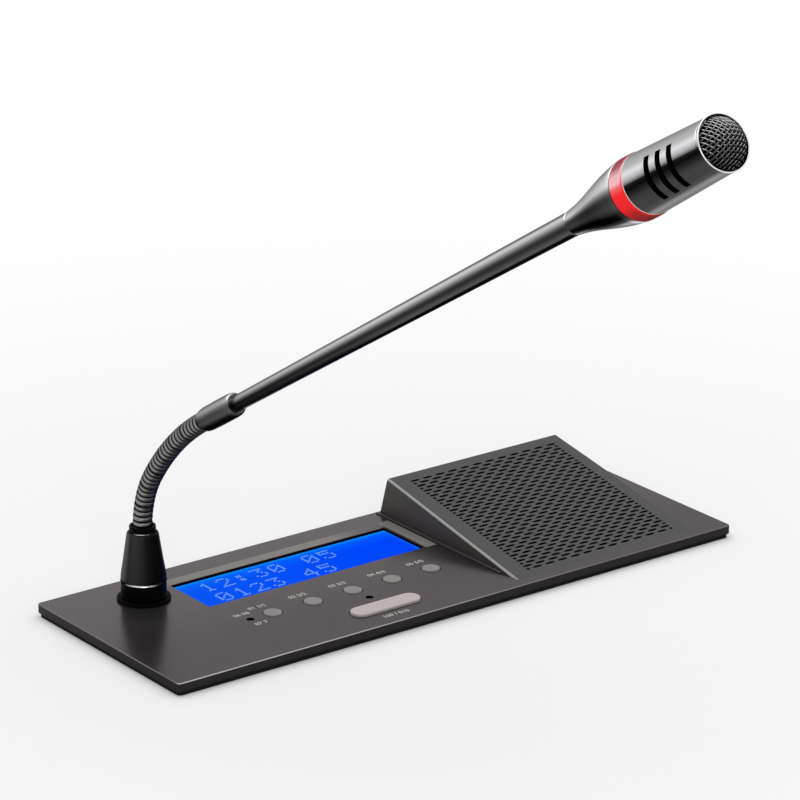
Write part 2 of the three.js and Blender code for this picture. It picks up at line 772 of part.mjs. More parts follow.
// Wedge between drafted walls, moved in by a wall on every side for the hollow
function coverWedge(inset, drop, base) {
  const left = acrossFromLeft(coverLeft) + inset;
  const right = acrossFromLeft(coverRight) - inset;
  const front = backFromFront(coverFront) + inset;
  const back = backFromFront(coverBack) - inset;
  const topBack = back - coverBackDraft;
  const heightAt = (y) => coverBase + coverHeightAt(y + panelDepth / 2) - drop;
  const frontShift = coverSideDraft * coverFrontHeight / coverHeight;
  return sixSided(
    [[left, front, base], [right, front, base], [right, back, base], [left, back, base]],
    [
      [left + frontShift, front, heightAt(front)],
      [right - frontShift, front, heightAt(front)],
      [right - coverSideDraft, topBack, heightAt(topBack)],
      [left + coverSideDraft, topBack, heightAt(topBack)],
    ],
  );
}

// Every slot of the grille, staggered from row to row and square to the slope
function grilleSlots() {
  const reach = coverWall + cutOverrun;
  const planPitch = slotRowPitch * Math.cos(coverTilt);
  const columnRun = coverLength - grilleFromCoverLeft - grilleToCoverRight;
  const rowRun = coverTopRun - grilleFromCoverFront - grilleToCoverBack;
  const slotColumns = Math.floor(columnRun / slotPitch) + 1;
  const slotRows = Math.floor(rowRun / planPitch) + 1;
  const slots = [];
  for (let row = 0; row < slotRows; row += 1) {
    const shifted = row % 2;
    const fromFront = coverFront + grilleFromCoverFront + row * planPitch;
    for (let column = 0; column < slotColumns - shifted; column += 1) {
      const fromLeft = coverLeft + grilleFromCoverLeft + (column + shifted / 2) * slotPitch;
      slots.push(new THREE.BoxGeometry(slotLength, slotWidth, 2 * reach).rotateX(coverTilt).translate(
        acrossFromLeft(fromLeft), backFromFront(fromFront), coverBase + coverHeightAt(fromFront),
      ));
    }
  }
  return mergeGeometries(slots);
}

// Hollow wedge with the slotted grille in its sloping top
function speakerCover() {
  const hollowBase = coverBase - cutOverrun;
  const solidFront = block(
    -panelLength, panelLength, -panelDepth, backFromFront(coverSolidFront),
    hollowBase - cutOverrun, coverBase + coverHeight,
  );
  const hollow = cut(coverWedge(coverWall, coverDrop, hollowBase), solidFront);
  return cut(coverWedge(0, 0, coverBase), hollow, grilleSlots());
}

// Dust cloth along the underside of the grille
function grilleCloth() {
  const drop = coverDrop + seatGap;
  const left = acrossFromLeft(coverLeft) + clothMargin;
  const right = acrossFromLeft(coverRight) - clothMargin;
  const front = backFromFront(coverSolidFront + clothToSolidFront);
  const back = backFromFront(coverBack - coverBackDraft - clothMargin);
  const level = (y) => coverBase + coverHeightAt(y + panelDepth / 2) - drop;
  const edge = (y, z) => [[left, y, z], [right, y, z]];
  const ring = (lowered) => {
    const [a, b] = edge(front, level(front) - lowered);
    const [d, c] = edge(back, level(back) - lowered);
    return [a, b, c, d];
  };
  return sixSided(ring(clothThickness), ring(0));
}

// Pressed basket: flange, sloping wall with four windows, seat for the magnet
function speakerBasket() {
  const flangeTop = panelUnderside - seatGap;
  const flangeLow = flangeTop - basketFlangeThickness;
  const seatTop = flangeTop - basketDepth;
  const outer = basketDiameter / 2;
  const mouth = speakerOpening / 2;
  const seat = basketSeat / 2;
  const shell = revolveRing([
    [coneNeck / 2 + basketWall, seatTop - basketWall],
    [seat, seatTop - basketWall],
    [mouth, flangeLow],
    [outer, flangeLow],
    [outer, flangeTop],
    [mouth - basketWall, flangeTop],
    [mouth - basketWall, flangeLow],
    [seat - basketWall, seatTop],
    [coneNeck / 2 + basketWall, seatTop],
  ], hiddenSides);
  const windowLow = seatTop + (basketDepth - basketFlangeThickness - basketWindowHeight) / 2;
  const across = (turn) => block(
    -outer, outer, -basketWindow / 2, basketWindow / 2, windowLow, windowLow + basketWindowHeight,
  ).rotateZ(turn);
  return cut(shell, across(Math.PI / 4), across(-Math.PI / 4)).translate(speakerCentre.x, speakerCentre.y, 0);
}

// Cone with its rolled edge and dust cap, one thin shell
function speakerCone() {
  const rim = panelUnderside - seatGap - basketFlangeThickness;
  const outer = coneDiameter / 2;
  const neck = coneNeck / 2;
  const deep = rim - coneDepth;
  const upper = [
    [outer, rim],
    [outer - coneRoll, rim + coneRoll / 2],
    [outer - 2 * coneRoll, rim - coneRoll / 2],
    [neck, deep],
    [neck / 2, deep + dustCapRise * dustCapFlankShare],
    [0, deep + dustCapRise],
  ];
  const lower = upper.map(([radius, height]) => [radius, height - coneWall]).reverse();
  return revolve([...lower, ...upper], hiddenSides).translate(speakerCentre.x, speakerCentre.y, 0);
}

// Magnet between its two steel plates
function speakerMagnet() {
  const top = panelUnderside - seatGap - basketDepth - basketWall - seatGap;
  const magnet = magnetDiameter / 2;
  const steel = magnetPlateDiameter / 2;
  const bottom = top - magnetThickness - 2 * magnetPlateThickness;
  return revolve([
    [0, bottom],
    [steel, bottom],
    [steel, bottom + magnetPlateThickness],
    [magnet, bottom + magnetPlateThickness],
    [magnet, top - magnetPlateThickness],
    [steel, top - magnetPlateThickness],
    [steel, top],
    [0, top],
  ], hiddenSides).translate(speakerCentre.x, speakerCentre.y, 0);
}

// Threaded socket through the panel, with a shoulder below it and a blind bore
function microphoneSocket() {
  const top = panelTop + socketAbovePanel;
  const bottom = panelUnderside - socketBelowPanel;
  const shoulderTop = panelUnderside - seatGap - nutThickness - seatGap;
  const thread = socketThread / 2;
  const bore = socketBore / 2;
  return revolve([
    [0, bottom],
    [socketShoulder / 2, bottom],
    [socketShoulder / 2, bottom + socketShoulderHeight],
    [thread, bottom + socketShoulderHeight],
    [thread, shoulderTop],
    [thread, top],
    [bore, top],
    [bore, bottom + socketFloor],
    [0, bottom + socketFloor],
  ], hiddenSides);
}

function socketFlange() {
  const bottom = panelTop + seatGap / 3;
  return tube(socketThread / 2 + seatGap, socketRing / 2, bottom, bottom + socketRingThickness);
}

function socketNut() {
  const top = panelUnderside - seatGap;
  const hexagon = new THREE.Shape();
  for (let corner = 0; corner < 6; corner += 1) {
    const angle = corner * Math.PI / 3;
    const point = [nutAcrossCorners / 2 * Math.cos(angle), nutAcrossCorners / 2 * Math.sin(angle)];
    if (corner === 0) hexagon.moveTo(...point);
    else hexagon.lineTo(...point);
  }
  hexagon.closePath();
  const bore = new THREE.Path();
  bore.absarc(0, 0, socketThread / 2 + seatGap, 0, 2 * Math.PI, true);
  hexagon.holes.push(bore);
  return plate(hexagon, top - nutThickness, top, hiddenSides);
}

const insertFloor = panelUnderside - socketBelowPanel + socketFloor + seatGap;

function socketInsert() {
  return cylinder(socketBore / 2 - seatGap, insertFloor, insertFloor + insertHeight, smallSides);
}

// Lock collar: wall round the thread, lip under the sleeve, eased top edge
function lockCollar() {
  const outer = collarDiameter / 2;
  const inner = socketThread / 2 + slideGap;
  const top = panelTop + collarTop;
  const lip = plugDiameter / 2 + slideGap;
  return revolveRing([
    [inner, collarBase],
    [outer, collarBase],
    [outer, top - collarEdge],
    [outer - collarEdge, top],
    [lip, top],
    [lip, top - collarLipThickness],
    [inner, top - collarLipThickness],
  ]);
}

// Plug: shaft in the socket, wider head held by the sleeve
function plugBody() {
  const shaft = plugDiameter / 2;
  const head = plugHeadDiameter / 2;
  const foot = insertFloor + insertHeight + seatGap;
  const headFoot = sleeveFoot + seatGap;
  return revolve([
    [0, foot],
    [shaft, foot],
    [shaft, headFoot],
    [head, headFoot],
    [head, headFoot + plugHeadHeight],
    [0, headFoot + plugHeadHeight],
  ], hiddenSides);
}

// Tapered sleeve, open below for the plug's head and above for the gooseneck
function plugSleeve() {
  const top = panelTop + sleeveTop;
  const [foot, tip] = [sleeveFootDiameter / 2, sleeveTopDiameter / 2];
  const room = plugHeadDiameter / 2 + seatGap;
  const neck = neckCrest / 2 + seatGap;
  const roomTop = sleeveFoot + 2 * seatGap + plugHeadHeight;
  const edge = collarEdge;
  return revolveRing([
    [room, sleeveFoot],
    [foot - edge, sleeveFoot],
    [foot, sleeveFoot + edge],
    [foot - sleeveWall / 4, sleeveFoot + 3 * edge],
    [tip, top - edge],
    [tip - edge, top],
    [neck, top],
    [neck, roomTop + sleeveWall],
    [room, roomTop],
  ]);
}

function sleeveRing() {
  const bottom = panelTop + sleeveTop + seatGap / 3;
  const outer = sleeveRingDiameter / 2;
  const neck = neckCrest / 2 + seatGap;
  return revolveRing([
    [neck, bottom],
    [outer, bottom],
    [outer, bottom + sleeveRingHeight / 2],
    [outer - seatGap, bottom + sleeveRingHeight],
    [neck, bottom + sleeveRingHeight],
  ]);
}

// Gooseneck centreline: its angle from upright and its place, by length along it
const neckFirstLength = neckFirstRadius * neckFirstTurn;
const neckLength = neckFirstLength + neckSecondRadius * neckSecondTurn;
const neckTurn = neckFirstTurn + neckSecondTurn;
const neckBase = new THREE.Vector3(socketCentre.x, socketCentre.y, panelTop + neckStart);

function neckAngle(length) {
  if (length <= 0) return 0;
  if (length <= neckFirstLength) return length / neckFirstRadius;
  return Math.min(neckFirstTurn + (length - neckFirstLength) / neckSecondRadius, neckTurn);
}

// Forward and upward reach of an arc of a radius between two angles
function arcReach(radius, from, to) {
  return [radius * (Math.cos(from) - Math.cos(to)), radius * (Math.sin(to) - Math.sin(from))];
}

function neckPlace(length) {
  const angle = neckAngle(length);
  const first = arcReach(neckFirstRadius, 0, Math.min(angle, neckFirstTurn));
  const second = arcReach(neckSecondRadius, Math.min(angle, neckFirstTurn), angle);
  const past = Math.min(length, 0) + Math.max(length - neckLength, 0);
  const forward = first[0] + second[0] + past * Math.sin(angle);
  const upward = first[1] + second[1] + past * Math.cos(angle);
  return neckBase.clone().add(new THREE.Vector3(0, -forward, upward));
}

// A hollow piece along the gooseneck. Each ring is a length, a straight offset from there and a radius.
function alongNeck(rings) {
  const points = [];
  for (const [length, offset, radius] of rings) {
    const angle = neckAngle(length);
    const centre = neckPlace(length).add(
      new THREE.Vector3(0, -Math.sin(angle), Math.cos(angle)).multiplyScalar(offset),
    );
    for (let side = 0; side < neckSides; side += 1) {
      const turn = 2 * Math.PI * side / neckSides;
      const across = radius * Math.cos(turn);
      const over = radius * Math.sin(turn);
      points.push(centre.x + across, centre.y + over * Math.cos(angle), centre.z + over * Math.sin(angle));
    }
  }
  const faces = [];
  for (let ring = 0; ring < rings.length; ring += 1) {
    const low = ring * neckSides;
    const high = (ring + 1) % rings.length * neckSides;
    for (let side = 0; side < neckSides; side += 1) {
      const next = (side + 1) % neckSides;
      faces.push(low + side, low + next, high + next, low + side, high + next, high + side);
    }
  }
  const geometry = new THREE.BufferGeometry();
  geometry.setAttribute('position', new THREE.Float32BufferAttribute(points, 3));
  geometry.setIndex(faces);
  return closedBody(geometry);
}

const neckPivotPitch = (neckLength - neckFirstPivot - neckLastPivotToFerrule) / neckLinks;
const neckPivot = (index) => neckFirstPivot + index * neckPivotPitch;

// Rings of a sphere about a pivot, on the side that faces up the gooseneck
function sphereRings(pivot, ball, radii) {
  return radii.map((radius) => [pivot, Math.sqrt(ball * ball - radius * radius), radius]);
}

// Ball end that the next piece's cup turns on
function ballEnd(pivot) {
  const ball = neckBall / 2;
  const hole = neckBore / 2;
  return sphereRings(pivot, ball, [...neckBallShares.map((share) => share * ball), hole]);
}

// Hollow cup that turns on the ball below it, from its outer edge to the bore
function cupEnd(pivot) {
  const cup = neckBall / 2 + neckBallGap;
  const edge = neckCupEdge / 2;
  return sphereRings(pivot, cup, [neckBore / 2, neckCupMiddleShare * cup, edge]);
}

// Ribs between two lengths along the gooseneck: a crest at each end and roots between crests
function ribs(from, to, count) {
  const rings = [];
  for (let step = 0; step <= 2 * count; step += 1) {
    const radius = (step % 2 ? neckRootDiameter : neckCrest) / 2;
    rings.push([from + (to - from) * step / (2 * count), 0, radius]);
  }
  return rings;
}

// Bottom piece of the gooseneck, fixed in the sleeve
function neckFoot() {
  const bottom = sleeveFoot + 3 * seatGap + plugHeadHeight + sleeveWall - neckBase.z;
  const pivot = neckPivot(0);
  const ribCount = Math.round((pivot - neckCrestBeforePivot - bottom) / (neckPivotPitch / 4));
  return alongNeck([
    [bottom, 0, neckBore / 2],
    ...ribs(bottom, pivot - neckCrestBeforePivot, ribCount),
    ...ballEnd(pivot),
  ]);
}

function neckLink(index) {
  const pivot = neckPivot(index);
  const next = neckPivot(index + 1);
  return alongNeck([
    ...cupEnd(pivot),
    ...ribs(pivot + neckCrestPastPivot, next - neckCrestBeforePivot, neckRibsToLink),
    ...ballEnd(next),
  ]);
}

// Ferrule with the last ribs of the gooseneck, turning on the last link's ball
function neckFerrule() {
  const pivot = neckPivot(neckLinks);
  const outer = ferruleDiameter / 2;
  const ribCount = Math.round((neckLength - pivot - neckCrestPastPivot) / (neckPivotPitch / 4));
  return alongNeck([
    ...cupEnd(pivot),
    ...ribs(pivot + neckCrestPastPivot, neckLength, ribCount),
    [neckLength, ferruleEdge / 2, outer - ferruleEdge],
    [neckLength, ferruleEdge * 1.5, outer],
    [neckLength, ferruleLength - ferruleEdge, outer],
    [neckLength, ferruleLength, outer - ferruleEdge],
    [neckLength, ferruleLength, neckBore / 2],
  ]);
}

// Heights along the microphone's own axis, from the end of the gooseneck
const rodFoot = ferruleLength + seatGap;
const rodTop = ferruleLength + rodLength - seatGap;
const coneFoot = ferruleLength + rodLength;
const coneTop = coneFoot + headConeLength;
const ringFoot = coneTop + seatGap;
const ringTop = ringFoot + lightRingWidth;
const bodyFoot = ringTop + seatGap;
const bodyTop = bodyFoot + headBodyLength;
const rimFoot = bodyTop + seatGap / 3;

function microphoneRod() {
  const bore = neckBore / 2;
  return revolveRing([
    [bore, rodFoot],
    [rodLowDiameter / 2, rodFoot],
    [rodHighDiameter / 2, rodTop],
    [bore, rodTop],
  ]);
}

// Rear housing that widens from the rod to the light ring
function headCone() {
  const bore = neckBore / 2;
  const [neck, wide] = [headNeckDiameter / 2, headConeDiameter / 2];
  const flanks = headConeShapeShares.map(([along, out]) => [
    neck + (wide - neck) * out,
    coneFoot + headConeLength * along,
  ]);
  return revolveRing([
    [bore, coneFoot],
    [neck, coneFoot],
    ...flanks,
    [wide, coneTop],
    [wide - headWall, coneTop],
    [lightRingBore / 2, coneTop - headConeLength * headHollowShare / 2],
    [bore, coneTop - headConeLength * headHollowShare],
  ]);
}

function lightRing() {
  const outer = lightRingDiameter / 2;
  const edge = seatGap;
  return revolveRing([
    [lightRingBore / 2, ringFoot],
    [outer - edge, ringFoot],
    [outer, ringFoot + edge],
    [outer - edge / 2, ringTop - edge],
    [outer - 2 * edge, ringTop],
    [lightRingBore / 2, ringTop],
  ]);
}

// Cutter for one slot: part of a ring round the head's axis
function headSlot(bottom, facing) {
  const outer = headBodyDiameter / 2 + cutOverrun;
  const inner = headMouthDiameter / 2 - headWall - cutOverrun;
  const [from, to] = [facing - headSlotArc / 2, facing + headSlotArc / 2];
  const outline = new THREE.Shape();
  outline.absarc(0, 0, outer, from, to, false);
  outline.absarc(0, 0, inner, to, from, true);
  outline.closePath();
  return plate(outline, bottom, bottom + headSlotWidth, smallSides / 2);
}

// Front housing: tapering tube with a spigot into the light ring and three slots on each side
function headBody() {
  const spigot = lightRingBore / 2 - seatGap;
  const [wide, mouth] = [headBodyDiameter / 2, headMouthDiameter / 2];
  const floorTop = bodyFoot + headFloor;
  const shell = revolveRing([
    [neckBore / 2, ringFoot],
    [spigot, ringFoot],
    [spigot, bodyFoot],
    [wide, bodyFoot],
    [mouth, bodyTop],
    [mouth - headWall, bodyTop],
    [mouth - headWall, floorTop],
    [neckBore / 2, floorTop],
  ]);
  const slots = [];
  for (let index = 0; index < headSlotCount; index += 1) {
    const bottom = bodyFoot + headFirstSlot + index * headSlotPitch;
    slots.push(headSlot(bottom, -headSlotTurn + Math.PI), headSlot(bottom, headSlotTurn));
  }
  return cut(shell, ...slots);
}

function headRim() {
  const outer = rimDiameter / 2;
  const inner = meshDiameter / 2 + seatGap;
  const edge = seatGap;
  return revolveRing([
    [inner, rimFoot],
    [outer - edge, rimFoot],
    [outer, rimFoot + edge],
    [outer, rimFoot + rimHeight - edge],
    [outer - edge, rimFoot + rimHeight],
    [inner, rimFoot + rimHeight],
  ]);
}

// Domed mesh, a thin shell that is open below
function headMesh() {
  const base = rimFoot + seatGap;
  const outer = meshDiameter / 2;
  const ball = (outer * outer + meshRise * meshRise) / (2 * meshRise);
  const dome = (radius) => [radius, base + meshRise + Math.sqrt(ball * ball - radius * radius) - ball];
  const upper = meshDomeShares.map((share) => dome(outer * share));
  const lower = meshDomeShares.map((share) => {
    const [radius, height] = dome(outer * share);
    return [Math.max(radius - meshWall * share, 0), height - meshWall * (1 - share / 2)];
  }).reverse();
  lower[lower.length - 1][1] = base;
  upper[0][1] = base;
  return revolve([...lower, ...upper]);
}

const capsuleTop = bodyTop - capsuleBelowRim;

function microphoneCapsule() {
  return cylinder(capsuleDiameter / 2, capsuleTop - capsuleLength, capsuleTop, smallSides);
}

// Soft cup that carries the capsule inside the head
function capsuleCup() {
  const inner = capsuleDiameter / 2 + seatGap;
  const outer = capsuleCupDiameter / 2;
  const floor = capsuleTop - capsuleLength - seatGap;
  return revolve([
    [0, floor - capsuleCupFloor],
    [outer, floor - capsuleCupFloor],
    [outer, capsuleTop],
    [inner, capsuleTop],
    [inner, floor],
    [0, floor],
  ], hiddenSides);
}

// Assembly
const unit = new THREE.Group();

function add(parent, name, geometry, material) {
  const mesh = new THREE.Mesh(closedBody(geometry), material);
  mesh.name = name;
  parent.add(mesh);
  return mesh;
}

add(unit, 'top_panel', topPanel(), panelPaint);
add(unit, 'rim_seal', rimSeal(), foam);
add(unit, 'back_box', backBox(), steelSheet);
screwSides.forEach((place, i) => add(unit, `box_screw_${i + 1}`, boxScrew(place), brightMetal));
add(unit, 'data_port_in', dataPort(-1), blackPlastic);
add(unit, 'data_port_out', dataPort(1), blackPlastic);

add(unit, 'display_lens', displayLens(), displayBlue);
add(unit, 'display_frame', displayFrame(), blackPlastic);
add(unit, 'display_board', displayBoard(), boardGreen);
add(unit, 'main_board', mainBoard(), boardGreen);
[[-1, -1], [1, -1], [1, 1], [-1, 1]].forEach(([sideX, sideY], i) => {
  add(unit, `board_spacer_${i + 1}`, boardSpacer(sideX, sideY), brightMetal);
});

keyCentres.forEach((centre, i) => {
  add(unit, `key_switch_${i + 1}`, keySwitch(centre), blackPlastic);
  add(unit, `key_${i + 1}`, roundKey(centre), keyPlastic);
});
add(unit, 'talk_switch', keySwitch(talkCentre), blackPlastic);
add(unit, 'talk_key', talkKey(), talkPlastic);
add(unit, 'speak_light', indicatorLight(lightCentres[0]), darkLight);
add(unit, 'talk_light', indicatorLight(lightCentres[1]), darkLight);

add(unit, 'speaker_cover', speakerCover(), coverPaint);
add(unit, 'grille_cloth', grilleCloth(), dustCloth);
add(unit, 'speaker_basket', speakerBasket(), steelSheet);
add(unit, 'speaker_cone', speakerCone(), paperCone);
add(unit, 'speaker_magnet', speakerMagnet(), steelSheet);

const socket = new THREE.Group();
socket.position.set(socketCentre.x, socketCentre.y, 0);
unit.add(socket);
add(socket, 'microphone_socket', microphoneSocket(), gunmetal);
add(socket, 'socket_flange', socketFlange(), blackGloss);
add(socket, 'socket_nut', socketNut(), brightMetal);
add(socket, 'socket_insert', socketInsert(), blackPlastic);
add(socket, 'lock_collar', lockCollar(), blackGloss);
add(socket, 'plug_body', plugBody(), brightMetal);
add(socket, 'plug_sleeve', plugSleeve(), blackGloss);
add(socket, 'sleeve_ring', sleeveRing(), brightMetal);

add(unit, 'neck_foot', neckFoot(), springSteel);
for (let index = 0; index < neckLinks; index += 1) {
  add(unit, `neck_link_${index + 1}`, neckLink(index), springSteel);
}
add(unit, 'neck_ferrule', neckFerrule(), gunmetal);

const microphone = new THREE.Group();
microphone.position.copy(neckPlace(neckLength));
microphone.rotation.x = neckTurn;
unit.add(microphone);
add(microphone, 'microphone_rod', microphoneRod(), gunmetal);
add(microphone, 'head_cone', headCone(), gunmetal);
add(microphone, 'light_ring', lightRing(), redGlow);
add(microphone, 'head_body', headBody(), gunmetal);
add(microphone, 'head_rim', headRim(), brightMetal);
add(microphone, 'head_mesh', headMesh(), gunmetal);
add(microphone, 'microphone_capsule', microphoneCapsule(), brightMetal);
add(microphone, 'capsule_cup', capsuleCup(), foam);

export default unit;
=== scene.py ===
"""Conference delegate unit: the surfaces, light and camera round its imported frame.

Sizes are in millimetres from the panel's front left corner and its top face, unless a name says
otherwise.
"""

from __future__ import annotations

import logging
import math
from dataclasses import dataclass, field
from enum import Enum
from typing import Any, Iterable, Mapping, Sequence

import bmesh
import bpy
from mathutils import Matrix, Vector

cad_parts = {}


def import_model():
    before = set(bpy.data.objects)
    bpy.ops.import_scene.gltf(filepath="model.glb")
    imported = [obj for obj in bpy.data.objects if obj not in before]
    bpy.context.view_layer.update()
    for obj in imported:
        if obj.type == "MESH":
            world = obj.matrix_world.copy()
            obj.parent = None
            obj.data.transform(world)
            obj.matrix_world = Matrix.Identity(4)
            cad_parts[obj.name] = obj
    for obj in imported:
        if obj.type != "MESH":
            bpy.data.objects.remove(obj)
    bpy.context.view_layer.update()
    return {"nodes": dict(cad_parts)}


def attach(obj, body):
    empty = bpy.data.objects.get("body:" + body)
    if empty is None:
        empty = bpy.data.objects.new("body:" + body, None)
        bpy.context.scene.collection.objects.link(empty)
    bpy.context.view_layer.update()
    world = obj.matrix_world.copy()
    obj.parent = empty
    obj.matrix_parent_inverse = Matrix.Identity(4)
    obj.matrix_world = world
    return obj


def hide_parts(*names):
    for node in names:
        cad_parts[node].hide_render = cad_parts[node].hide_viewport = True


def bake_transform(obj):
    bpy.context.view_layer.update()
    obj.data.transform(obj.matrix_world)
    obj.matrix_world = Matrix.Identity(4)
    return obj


MM = 0.001
PANEL_TOP = 33.3
PANEL_MIDDLE = (110.0, 40.0)
NECK_FOOT_HEIGHT = 23.0
RIB_LAYER = "rib_height"

Colour = tuple[float, float, float]
Point = tuple[float, float, float]
Span = tuple[float, float, float]
Profile = Sequence[tuple[float, float]]
Shape = bmesh.types.BMesh
Piece = bpy.types.Object

WHITE: Colour = (1.0, 1.0, 1.0)
UP: Point = (0.0, 0.0, 1.0)
LEFT: Point = (-1.0, 0.0, 0.0)
LAMP_SIDE: Point = (-0.18, 0.51, 0.84)
COARSE, MEDIUM, ROUND, FINE = 24, 48, 64, 96

log = logging.getLogger("delegate_unit")


def place(x: float, y: float, z: float) -> Vector:
    """Turns a place on the panel into the frame's own metres.

    Args:
        x: Distance from the panel's left end.
        y: Distance from its front edge.
        z: Height above its top face.

    Returns:
        The point in the frame.
    """
    return Vector((x - PANEL_MIDDLE[0], y - PANEL_MIDDLE[1], z + PANEL_TOP)) * MM


def upright(x: float, y: float, z: float = 0.0) -> Matrix:
    """Returns the matrix that sets a shape drawn in millimetres upright at a place on the panel."""
    return Matrix.Translation(place(x, y, z)) @ Matrix.Scale(MM, 4)


class Value:
    """A socket whose value can be used in Python expressions."""

    def __init__(self, graph: Graph, socket: bpy.types.NodeSocket) -> None:
        """Keeps the graph that the socket belongs to, and the socket."""
        self.graph = graph
        self.socket = socket

    def _maths(self, operation: str, *others: Any, swap: bool = False) -> Value:
        """Adds a Math node.

        Args:
            operation: The node's operation.
            others: The other inputs, as numbers or values.
            swap: Whether this value is the second input.

        Returns:
            The node's result.
        """
        inputs = [*others, self] if swap else [self, *others]
        return self.graph.node("ShaderNodeMath", {"operation": operation}, dict(enumerate(inputs)))

    def __add__(self, other: Any) -> Value:
        """Returns the sum."""
        return self._maths("ADD", other)

    __radd__ = __add__

    def __mul__(self, other: Any) -> Value:
        """Returns the product."""
        return self._maths("MULTIPLY", other)

    __rmul__ = __mul__

    def __sub__(self, other: Any) -> Value:
        """Returns the difference."""
        return self._maths("SUBTRACT", other)

    def __rsub__(self, other: Any) -> Value:
        """Returns the difference from a number."""
        return self._maths("SUBTRACT", other, swap=True)

    def within(self, low: float, high: float, soft: float) -> Value:
        """Masks a band of this value.

        Args:
            low: Where the band starts.
            high: Where it ends.
            soft: The width over which each side fades.

        Returns:
            1 inside the band and 0 outside.
        """
        return self.above(low, soft) * (1.0 - self.above(high, soft))

    def above(self, level: float, soft: float) -> Value:
        """Masks a value with a smooth step at a level.

        Args:
            level: The middle of the step.
            soft: The step's width.

        Returns:
            0 below the level and 1 above it.
        """
        settings = {"interpolation_type": "SMOOTHSTEP"}
        inputs = {"Value": self, "From Min": level - soft / 2, "From Max": level + soft / 2}
        return self.graph.node("ShaderNodeMapRange", settings, inputs)

    def limited(self) -> Value:
        """Returns this value held between 0 and 1."""
        return self.graph.node("ShaderNodeClamp", {}, {"Value": self})


class Graph:
    """A tree of shader nodes that is being put together."""

    def __init__(self, tree: bpy.types.NodeTree) -> None:
        """Empties the tree."""
        self.tree = tree
        self.tree.nodes.clear()

    def put(self, socket: bpy.types.NodeSocket, value: Any) -> None:
        """Links a value to a socket, or sets a plain number or colour on it.

        Args:
            socket: The socket.
            value: What it is set to.
        """
        if isinstance(value, Value):
            self.tree.links.new(value.socket, socket)
        elif isinstance(value, (int, float)) or len(value) == len(socket.default_value):
            socket.default_value = value
        else:
            socket.default_value = (*value, 1.0)

    def node(self, kind: str, settings: Mapping, inputs: Mapping, output: int | str = 0) -> Value:
        """Adds one node.

        Args:
            kind: The node's type.
            settings: Its properties, set before its sockets.
            inputs: Values or links by socket name or number.
            output: The name or number of the output that is used.

        Returns:
            The output's value.
        """
        made = self.tree.nodes.new(kind)
        for name, setting in settings.items():
            if name == "stops":
                for stop, (position, colour) in enumerate(setting):
                    ramp = made.color_ramp.elements
                    element = ramp[stop] if stop < len(ramp) else ramp.new(position)
                    element.position = position
                    element.color = (*colour, 1.0)
            else:
                setattr(made, name, setting)
        for name, value in inputs.items():
            self.put(made.inputs[name], value)
        return Value(self, made.outputs[output])

    def seen(self) -> Value:
        """Masks what the eye sees straight on, in a reflection or through a pane.

        Returns:
            1 there, else 0.
        """
        rays = [f"Is {ray} Ray" for ray in ("Camera", "Glossy", "Transmission")]
        straight, mirrored, through = (self.node("ShaderNodeLightPath", {}, {}, ray) for ray in rays)
        return (straight + mirrored + through).limited()


